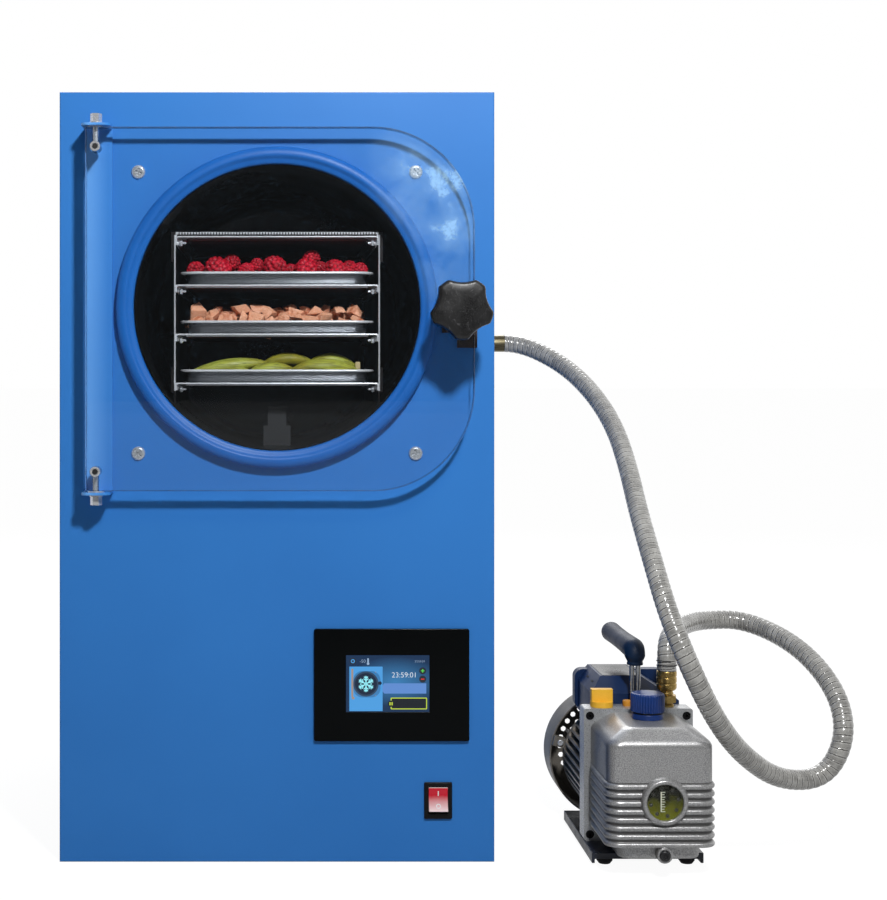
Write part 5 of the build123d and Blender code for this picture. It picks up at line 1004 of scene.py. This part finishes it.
piece("on_mark", slab(*on_rocker(6.2), 0.55, 2.4, 0.12, 0.2, 0.03, 3, 1), "print_white_and_highlight", body="rocker")
piece("off_mark", lathe([(2.4, 0), (2.4, 0.12), (1.6, 0.12), (1.6, 0)], *on_rocker(-6.2), 40, closed=True),
      "print_white_and_highlight", body="rocker")
# a thin white strip on the top edge of the switch frame: a painted highlight where the edge catches the lamps
piece("switch_top_highlight", slab((rocker_x, box("switch_housing")[0][1], rocker_z + 12.9), FRONT, 9.4, 0.45, 0.15, 0.2,
                              0.05, 3, 1), "print_white_and_highlight")

# ------------------------------------------------------------------ screen
screen_x, screen_y, screen_z = 110.5, -263.2, 179.0
layer_depth, layer_step = 0.05, 0.07


def on_screen(u, v, layer):
    """Place on the picture: across and up from its middle, on a numbered thin layer."""
    return screen_x + u, screen_y - (0.02 + layer_step * layer), screen_z + v


# shapes of the picture, in a thin layer over the glass: plate from its sides, disc, ring, outline
def plate(u1, u2, v1, v2, layer, corner=0.3, edge_steps=1, corner_steps=5):
    return slab(on_screen((u1 + u2) / 2, (v1 + v2) / 2, layer), FRONT, (u2 - u1) / 2, (v2 - v1) / 2, layer_depth,
                corner, 0.01, corner_steps, edge_steps)


def disc(u, v, radius, layer, steps=40):
    return lathe([(radius, 0), (radius, layer_depth)], on_screen(u, v, layer), FRONT, steps)


def ring(u, v, outer, inner, layer):
    return lathe([(outer, 0), (outer, layer_depth), (inner, layer_depth), (inner, 0)], on_screen(u, v, layer), FRONT,
                 48, closed=True)


def outline(points, layer):
    return prism(points, on_screen(0, 0, layer), FRONT, layer_depth)


# lit backdrop: navy edges, a soft blue glow right of the middle
picture = Finish("picture_backdrop")
away = picture.vector("SUBTRACT", picture.where(), (0.118, screen_y * MM, 0.181))
spread = picture.vector("LENGTH", picture.vector("MULTIPLY", away, (24.0, 0.0, 46.0)), output="Value")
picture.done(srgb(4, 6, 10), 0.25, Emission_Strength=0.9,
             Emission_Color=picture.fade(spread, 0.0, 1.15, (56, 130, 188), (5, 46, 84)))
for tone, colour in {
        "sky": (74, 156, 222), "navy": (10, 32, 58), "ring": (42, 66, 92), "cyan": (150, 238, 250),
        "tan": (160, 140, 128), "white": (226, 234, 242), "pale": (150, 176, 206), "banner": (92, 138, 206),
        "button": (12, 20, 30), "lime": (186, 206, 60), "green": (90, 210, 80), "red": (226, 48, 44),
        "dark": (30, 38, 48), "steel": (58, 124, 180)}.items():
    Finish("lit_" + tone).done(srgb(4, 6, 10), 0.25, Emission_Strength=1.0, Emission_Color=srgb(*colour))

flake, middle = [], np.array([-21.7, -0.3])
# a straight bar and two pairs of slanting bars on each of six arms, as ends (along, across) and half width
bars = [((0.4, 0), (8.0, 0), 0.62)]
for start, (far, side) in (((3.2, 0), (5.4, 2.3)), ((5.4, 0), (7.2, 1.9))):
    bars += [(start, (far, side), 0.5), (start, (far, -side), 0.5)]
for arm, (start, end, half) in itertools.product(range(6), bars):
    angle = arm * TAU / 6 + math.pi / 2
    turned = np.array([[math.cos(angle), math.sin(angle)], [-math.sin(angle), math.cos(angle)]])
    a, b = middle + np.array(start) @ turned, middle + np.array(end) @ turned
    aside = np.array([-(b - a)[1], (b - a)[0]]) / np.linalg.norm(b - a) * half
    flake.append(outline([a - aside, b - aside, b + aside, a + aside], 5))
piece("screen_backdrop", plate(-41.6, 41.6, -28.4, 28.4, 0), "picture_backdrop")
for name, tone, shapes in (
        ("panel", "sky", [plate(-38.3, -5.1, -27.4, 17.0, 1)]),
        ("door_shadow", "steel", [plate(-34.4, -7.2, -13.8, 12.6, 2, 9, 3, 6)]),
        ("door_ring", "ring", [ring(-21.7, -0.3, 12.6, 10.7, 3), disc(-7.8, 0.5, 1.4, 3, 5)]),
        ("door_glass", "navy", [disc(-21.7, -0.3, 10.9, 3), disc(-7.8, 0.5, 2.1, 4, 5)]),
        ("flake", "cyan", flake),
        ("hinge_bar", "tan", [plate(-36.3, -34.4, -13.6, 14.9, 3, 0.6), plate(-35.9, -33.2, -15.6, -13.2, 3, 0.6),
                              plate(-31.5, -30.7, -12.4, -11.6, 3, 0.4), plate(-12.4, -11.6, -12.4, -11.6, 3, 0.4),
                              plate(-12.4, -11.6, 11.0, 11.8, 3, 0.4)]),
        ("icons", "dark", [disc(-34.8, 22.4, 3.2, 1), disc(34.9, 12.8, 3.5, 1), disc(34.9, 4.5, 3.5, 1)]),
        ("icon_ring", "sky", [ring(-34.8, 22.4, 2.0, 1.1, 2)]),
        ("plus", "green", [plate(33.2, 36.6, 12.3, 13.3, 2), plate(34.4, 35.4, 11.1, 14.5, 2)]),
        ("minus", "red", [plate(33.2, 36.6, 4.0, 5.0, 2)]),
        ("banner", "banner", [outline([(-7.4, -4.8), (-3.4, -9.9), (38.5, -9.9), (38.5, 0.3), (-3.4, 0.3)], 1)]),
        ("button_rim", "lime", [plate(2.9, 39.3, -25.7, -13.9, 1, 1.0)]),
        ("button", "button", [plate(4.0, 38.3, -24.7, -14.9, 2, 0.6), disc(3.3, -20.0, 3.2, 3)]),
        ("pause", "lime", [plate(1.7, 3.0, -21.6, -18.4, 4), plate(3.7, 5.0, -21.6, -18.4, 4)]),
        ("thermometer", "pale", [plate(-20.4, -18.8, 20.0, 25.4, 1, 0.7), disc(-19.6, 19.9, 1.3, 1)])):
    piece("screen_" + name, shapes, "lit_" + tone, sharp=40)
words("screen_cold", "-50", 4.6, on_screen(-25.0, 22.2, 1), "lit_pale")
words("screen_total", "23:59:59", 3.0, on_screen(32.0, 22.1, 1), "lit_pale")
words("screen_clock", "23:59:01", 7.4, on_screen(16.6, 8.4, 1), "lit_white")

# ------------------------------------------------------------------ pump: cast oil tank
pump_x, flange_y, flange_top = 368.0, -229.0, box("pump_flange")[1][2]
tank_low, tank_high = box("oil_tank")
tank_x, tank_front = (tank_low[0] + tank_high[0]) / 2, tank_low[1] + 6.0
tank_half = (tank_high[0] - tank_low[0]) / 2 - 2.5
window = np.array([373.5, tank_low[1], 75.6])
first_rib, rib_pitch = 33.3, 8.06


def tank_ring(height, share=0.0, extra=0.0, foot=0.0):
    """Outline of the tank at a height: straight sides, rounded front corners; share of the way up
    the shoulder draws it in, extra pushes it out for a rib, foot makes the narrower base."""
    half = tank_half - 20.5 * share - 11.5 * foot
    front = tank_front + 15.0 * share + 6.0 * foot
    radius = 13.0 - 3.0 * share
    # left half, as across, back and the direction out of the wall
    left = [(-half, y, -1.0, 0.0) for y in np.linspace(flange_y - 0.05, front + radius, 9)[:-1]]
    left += [(-half + radius * (1 - math.cos(a)), front + radius * (1 - math.sin(a)), -math.cos(a), -math.sin(a))
             for a in np.linspace(0, math.pi / 2, 10)]
    run = np.linspace(-(half - radius), half - radius, 36)[1:-1]
    rows = np.array(left + [(x, front, 0.0, -1.0) for x in run] + [(-x, y, -u, v) for x, y, u, v in left[::-1]])
    fade = np.clip((flange_y - 1.5 - rows[:, 1]) / 3.0, 0, 1) * extra
    ring = np.stack([tank_x + rows[:, 0] + rows[:, 2] * fade, rows[:, 1] + rows[:, 3] * fade,
                     np.full(len(rows), height)], axis=1)
    # the wall sinks in behind the round window
    inside = (np.hypot(ring[:, 0] - window[0], height - window[2]) < 20.6) & (rows[:, 3] < -0.99)
    ring[inside, 1] = tank_front + 8.0
    return ring


rings = [tank_ring(height, extra=extra, foot=foot) for height, extra, foot in (
    (18.4, -2.0, 1), (18.9, -0.9, 1), (20.2, -0.1, 1), (24.0, 0.0, 1), (29.5, 0.0, 1), (30.9, 0.4, 1),
    (31.5, -0.8, 0.4))]
for height in np.arange(31.5, 97.0, 0.42):
    near = (height - first_rib) / rib_pitch
    off = (near - min(max(round(near), 0), 7)) * rib_pitch
    rings.append(tank_ring(height, extra=2.5 * math.cos(math.pi * off / 5.8) ** 0.55 if abs(off) < 2.9 else 0.0))
rings += [tank_ring(height) for height in np.linspace(98, 124, 8)]
# the shoulder: two crisp bends joined by a straight slope, each bend a short quadratic curve
low_bend, high_bend = np.array([0.0, 131.0]), np.array([1.0, 143.8])
for start, bend, end in ((np.array([0.0, 126.6]), low_bend, low_bend * 0.70 + high_bend * 0.30),
                         (low_bend * 0.24 + high_bend * 0.76, high_bend, np.array([1.20, 143.8]))):
    for t in np.linspace(0.0, 1.0, 9):
        share, height = (1 - t) ** 2 * start + 2 * t * (1 - t) * bend + t ** 2 * end
        rings.append(tank_ring(height, share))


def tank_finish():
    """Cast aluminium: a fine sparkle, with painted shade in the grooves between the ribs and on faces turned to the
    left.
    """
    make = Finish("tank_silver")
    sparkle = make.noise(1100.0)
    colour = make.fade(sparkle, 0.38, 0.62, (190, 190, 190), (142, 142, 143))
    facing = make.parts(make.shape("True Normal"))[0]
    # painted shade on the faces turned to the left
    colour = make.mix(make.ranged(facing, -0.95, -0.45, 0.75, 0.0), colour, (92, 88, 84))
    # painted shade in the grooves: far from the middle of a rib, between the lowest and highest rib, and clear of the
    # window's boss
    height = make.parts(make.where())[2]
    ribs = make.times(make.maths("SUBTRACT", height, (first_rib - rib_pitch / 2) * MM), 1 / (rib_pitch * MM))
    groove_shade = make.times(make.ranged(make.off(make.maths("FRACT", ribs), 0.5), 0.27, 0.40),
                        make.ranged(height, 0.030, 0.031), make.ranged(height, 0.094, 0.093),
                        make.ranged(make.far(*window * MM), 0.0238, 0.0244), 0.85)
    make.done(make.mix(groove_shade, colour, (62, 61, 60)),
              (sparkle, 0.28, 0.42), (sparkle, 0.35, 0.0003), Metallic=0.6)


tank_finish()
boss = [(23.6, -5.4), (23.2, -4.2), (22.2, -2.2), (21.4, -0.8), (20.4, -0.05), (18.9, 0.0), (17.9, -0.5), (17.4, -1.6),
        (17.3, -5.6), (17.3, -7.0), (23.6, -7.0)]
drain_seat = [(7.7, -12), (7.7, -1.2), (7.2, -0.3), (6.6, 0), (5.6, 0), (5.2, -0.6), (5.2, -12)]
drain = (window[0], tank_front - 3.5, 24.2)
piece("tank_casting", [grid(np.stack(rings), close_columns=True, cap=True),
                       lathe(boss, window, FRONT, 72, closed=True), lathe(drain_seat, drain, FRONT, 40, closed=True)],
      "tank_silver", ("oil_tank",), 50)

# oil behind the glass: olive with a bright yellow-green pool low down
oil = Finish("oil_behind_glass")
swirl = oil.noise(110.0, Distortion=1.0)
level = oil.maths("MULTIPLY_ADD", swirl, 0.022, oil.parts(oil.where())[2])
oil.done(oil.fade(level, 0.072, 0.092, (112, 114, 22), (8, 8, 4)), (swirl, 0.25, 0.45),
         Specular_IOR_Level=0.1)
piece("oil_back", lathe([(17.3, -6.6), (17.3, -4.6)], window, FRONT, 60), "oil_behind_glass",
      ("sight_glass",))
hole_ring = 13.4
# flat black discs: painted shade for the holes in the back plate
piece("oil_back_hole_shade", [
    lathe([(1.9, 0), (1.7, 0.3)], window + (hole_ring * math.cos(a), 4.5, hole_ring * math.sin(a)), FRONT, 20)
    for a in np.linspace(0, TAU, 9)[:-1] + 0.2], "black_seal_and_shade")
scale_marks = [slab(window + (-3.6, 4.2, 0.4), FRONT, 0.55, 9.6, 0.3, 0.2, 0.05, 3, 1)]
for tick in range(9):
    reach = 3.9 if tick % 2 == 0 else 3.1
    scale_marks.append(slab(window + (reach / 2 - 3.6, 4.2, -8.9 + 2.32 * tick), FRONT, reach / 2, 0.34, 0.3, 0.2, 0.05,
                            3, 1))
piece("oil_scale", scale_marks, "print_white_and_highlight")
# clear round window with a slight swirl in its surface; lamp light and bounced light pass straight through
glass = Finish("round_window")
glass.done((0.97, 0.98, 0.92, 1.0), (glass.noise(90.0, 1.0), 0.02, 0.07),
           Transmission_Weight=1.0, IOR=1.2)
clear = glass.add("BsdfTransparent", {"Color": (0.94, 0.95, 0.86, 1.0)})
glass.show(glass.blend(glass.paths("Shadow", "Diffuse"), glass.shader.outputs[0], clear.outputs[0]))
piece("oil_window", lathe([(17.2, -3.6), (17.2, -1.5), (16.4, -1.15), (12.0, -0.75), (7.0, -0.5), (2.0, -0.4),
                           (0.02, -0.4)], window, FRONT, 60), "round_window")
piece("drain_screw", lathe([(5.1, -6), (5.1, 1.6), (4.7, 2.4), (4.0, 2.8), (2.6, 2.9), (2.4, 2.7), (2.4, 1.0),
                            (0.02, 0.8)], drain, FRONT, 36), "knob_black", ("drain_plug",))

# ------------------------------------------------------------------ pump: plates and boxes
softened("pump_plate", "pump_flange", "plate_silver", 1.0)
softened("pump_sill", "pump_base", "base_paint", 0.7)
softened("motor_box", "terminal_box", "box_blue", 2.0, 4)
softened("exhaust_cap", "exhaust_plug", "plug_yellow", 1.3, 4, "exhaust_plug")
piece("motor_label", slab((359.0, box("terminal_box")[1][1] - 36.5, 172.5), UP, 18.6, 34.0, 0.4, 3, 0.15), "label_grey")
lean = math.atan2(14.5, 13.0)
slope_facing = ((0, -1, 0), (math.cos(lean), 0, math.sin(lean)), (-math.sin(lean), 0, math.cos(lean)))
# thin black plates: painted shade for the slots in the sloping face
piece("motor_box_slot_shade", [slab((331.5, y, 165.2), slope_facing, 5.2, 1.2, 0.25, 1.1, 0.1) for y in (-146.0, -172.0)],
      "black_seal_and_shade")
piece("gas_ballast_cap", lathe([(4.4, 0), (4.6, 0.8), (4.6, 4.6), (4.2, 5.6), (3.2, 6.1), (0.02, 6.3)],
                               (359.5, -214, flange_top), UP, 30), "plug_orange")

# fluted cap: radius carries 36 shallow waves that fade out towards the top edge
cap_low, cap_high = box("oil_cap")
angle = np.linspace(0, TAU, 288, endpoint=False)
spoke, flute = np.stack([np.cos(angle), np.sin(angle)], axis=1), np.abs(np.sin(18 * angle)) ** 0.8
cap_rings = [((radius - 0.95 * depth * (1 - flute))[:, None] * spoke, height) for radius, height, depth in (
    (14.0, 0.0, 0.0), (16.0, 0.0, 0.1), (16.6, 0.4, 0.4), (16.85, 1.2, 1.0), (16.85, 9.0, 1.0), (16.8, 15.6, 1.0),
    (16.5, 16.9, 0.7), (15.7, 17.9, 0.3), (14.4, 18.4, 0.0), (11.0, 18.6, 0.0), (5.0, 18.7, 0.0), (0.05, 18.72, 0.0))]
piece("fluted_cap", lofted(cap_rings, (*((cap_low + cap_high) / 2)[:2], cap_low[2])), "cap_blue",
      ("oil_cap",), 40, "oil_cap")
softened("filler_collar", "filler_neck", "cap_blue", 0.8)

# ------------------------------------------------------------------ pump: handle
grip_low, grip_high = box("handle_grip")
bar_y, bar_z, bend = -212.0, grip_high[2] - 11.4, 7.5
# points (back, up) and radii: up the stem, round the bend, along the bar and over its rounded end
end_turn = np.sin(np.linspace(0.12, math.pi / 2 - 0.02, 9))
grip = [(bar_y, z) for z in np.linspace(grip_low[2], bar_z - bend, 6)]
grip += [(bar_y + bend * (1 - math.cos(a)), bar_z - bend + bend * math.sin(a))
         for a in np.linspace(0, math.pi / 2, 12)[1:]]
grip += [(y, bar_z) for y in (*np.linspace(bar_y + bend + 4, grip_high[1] - 11, 16),
                              *(grip_high[1] - 11.0 * (1 - end_turn)))]
grip_radii = np.concatenate([
    [6.9, 7.5, 7.7, 8.3, 9.2, 10.0], np.linspace(10.4, 11.1, 11),
    11.1 - 0.9 * np.sin(math.pi * np.linspace(0, 1, 16) * 0.9),
    10.9 * np.sqrt(np.clip(1 - end_turn ** 2.4, 0.0004, 1))])
piece("handle_skin", tube([(pump_x, y, z) for y, z in grip], grip_radii, 36), "grip_blue",
      ("handle_grip",), 60)
piece("handle_lip", lathe([(7.9, 0.3), (8.2, 0.8), (8.2, 2.6), (7.7, 3.2), (7.0, 3.2), (7.0, 0.3)],
                          (pump_x, bar_y, grip_low[2]), UP, 36, closed=True), "grip_blue")

# ------------------------------------------------------------------ hose fittings
fit_x, fit_y = 399.5, -217.0
piece("pump_fitting", [lathe([
    (6.9, -2.0), (6.9, 0.0), (7.4, 0.3), (7.4, 1.9), (6.6, 2.5), (6.0, 3.2), (6.0, 12.4), (6.8, 12.9), (6.8, 14.2),
    (6.2, 15.0), (6.2, 16.2), (8.6, 17.2), (9.7, 18.6), (10.1, 19.6), (10.15, 23.2), (9.7, 23.8), (9.7, 24.8),
    (10.15, 25.4), (10.2, 29.6), (9.8, 30.2), (9.8, 31.2), (10.2, 31.8), (10.2, 35.6), (9.8, 36.4), (9.0, 36.8),
    (6.0, 36.9)], (fit_x, fit_y, flange_top), UP, 56),
    prism(hexagon(18.6, 0.3), (fit_x, fit_y, flange_top + 4.4), UP, 7.4, 0.9)],
    "turned_brass", ("inlet_fitting",), 32)
turn = np.linspace(0, TAU * 1.7, 90)
piece("hose_wire", tube(np.stack([
    fit_x + 10.35 * np.cos(turn + 0.6), fit_y + 10.35 * np.sin(turn + 0.6),
    flange_top + 39.4 + 4.6 * turn / TAU - 1.2 * np.cos(turn)], axis=1), 0.42, 10), "black_seal_and_shade",
    sharp=60)
port_y, port_z = 10.0, 523.5
piece("port_ferrule", [lathe([
    (7.5, 4.0), (8.4, 8.2), (9.2, 9.2), (9.4, 10.2), (9.4, 19.0), (8.8, 19.8), (8.8, 21.2), (9.4, 22.0), (9.5, 32.0),
    (9.0, 32.8), (9.0, 34.2), (9.5, 35.0), (9.5, 43.6), (9.1, 44.8), (7.5, 45.2)], (217.5, port_y, port_z), RIGHT, 48),
    prism(hexagon(23.4, 0.2), (217.6, port_y, port_z), RIGHT, 7.4, 1.0)], "port_khaki", sharp=32)
motor_z, tab_radius, first_tab = 70.4, 61.0, math.radians(165.0)
piece("cover_screws", [
    screw_head((pump_x + tab_radius * math.cos(a), -107.2, motor_z + tab_radius * math.sin(a)), FRONT, 3.4, 1.8, 0.8)
    for a in first_tab + TAU / 3 * np.arange(3)], "bright_steel", sharp=38)

# ------------------------------------------------------------------ floor and surroundings
# the floor shows as white and keeps a faint shadow
floor_material = bpy.data.materials.new("pale_floor")
floor_material.use_nodes = True
make = Nodes(floor_material.node_tree)
matt = make.add("BsdfDiffuse", {"Color": (0.45, 0.45, 0.45, 1.0)})
white = make.add("Emission", {"Color": (1.0, 1.0, 1.0, 1.0), "Strength": 1.22})
place = make.parts(make.shape("Position"))
mirrored = make.times(make.paths("Glossy"), make.ranged(place[1], -0.45, 0.4, 0.04, 1.0))
seen = make.most(make.paths("Camera"), mirrored, make.paths("Transmission"))
both = make.blend(make.times(seen, 0.78), matt.outputs[0], white.outputs[0])
make.add("OutputMaterial", {0: both})
floor_mesh = bpy.data.meshes.new("floor")
floor_mesh.from_pydata([(-30, -30, 0), (30, -30, 0), (30, 60, 0), (-30, 60, 0)], [], [(0, 1, 2, 3)])
floor_mesh.materials.append(floor_material)
placed("floor", floor_mesh)

scene.world = bpy.data.worlds.new("surroundings")
scene.world.use_nodes = True
make = Nodes(scene.world.node_tree)
_, ahead, above = make.parts(make.add("TexCoord").outputs["Generated"])
# behind the viewer the studio is dim, above and behind the object it is bright
studio = make.maths("ADD", make.ranged(ahead, -0.35, 0.6, 0.035, 0.62), make.ranged(above, 0.25, 1.0, 0.0, 0.16))
# metal and glass meet the white backdrop behind the object and the dim room in front of it
mirrored = make.ranged(ahead, -0.30, 0.25, 0.05, 1.0)
level = make.add("Mix", {0: make.paths("Glossy"), 2: studio, 3: mirrored}).outputs[0]
level = make.add("Mix", {0: make.paths("Camera", "Transmission"), 2: level, 3: 1.0}).outputs[0]
background = make.add("Background", {"Color": (1.0, 1.0, 1.0, 1.0), "Strength": level})
make.add("OutputWorld", {0: background.outputs[0]})
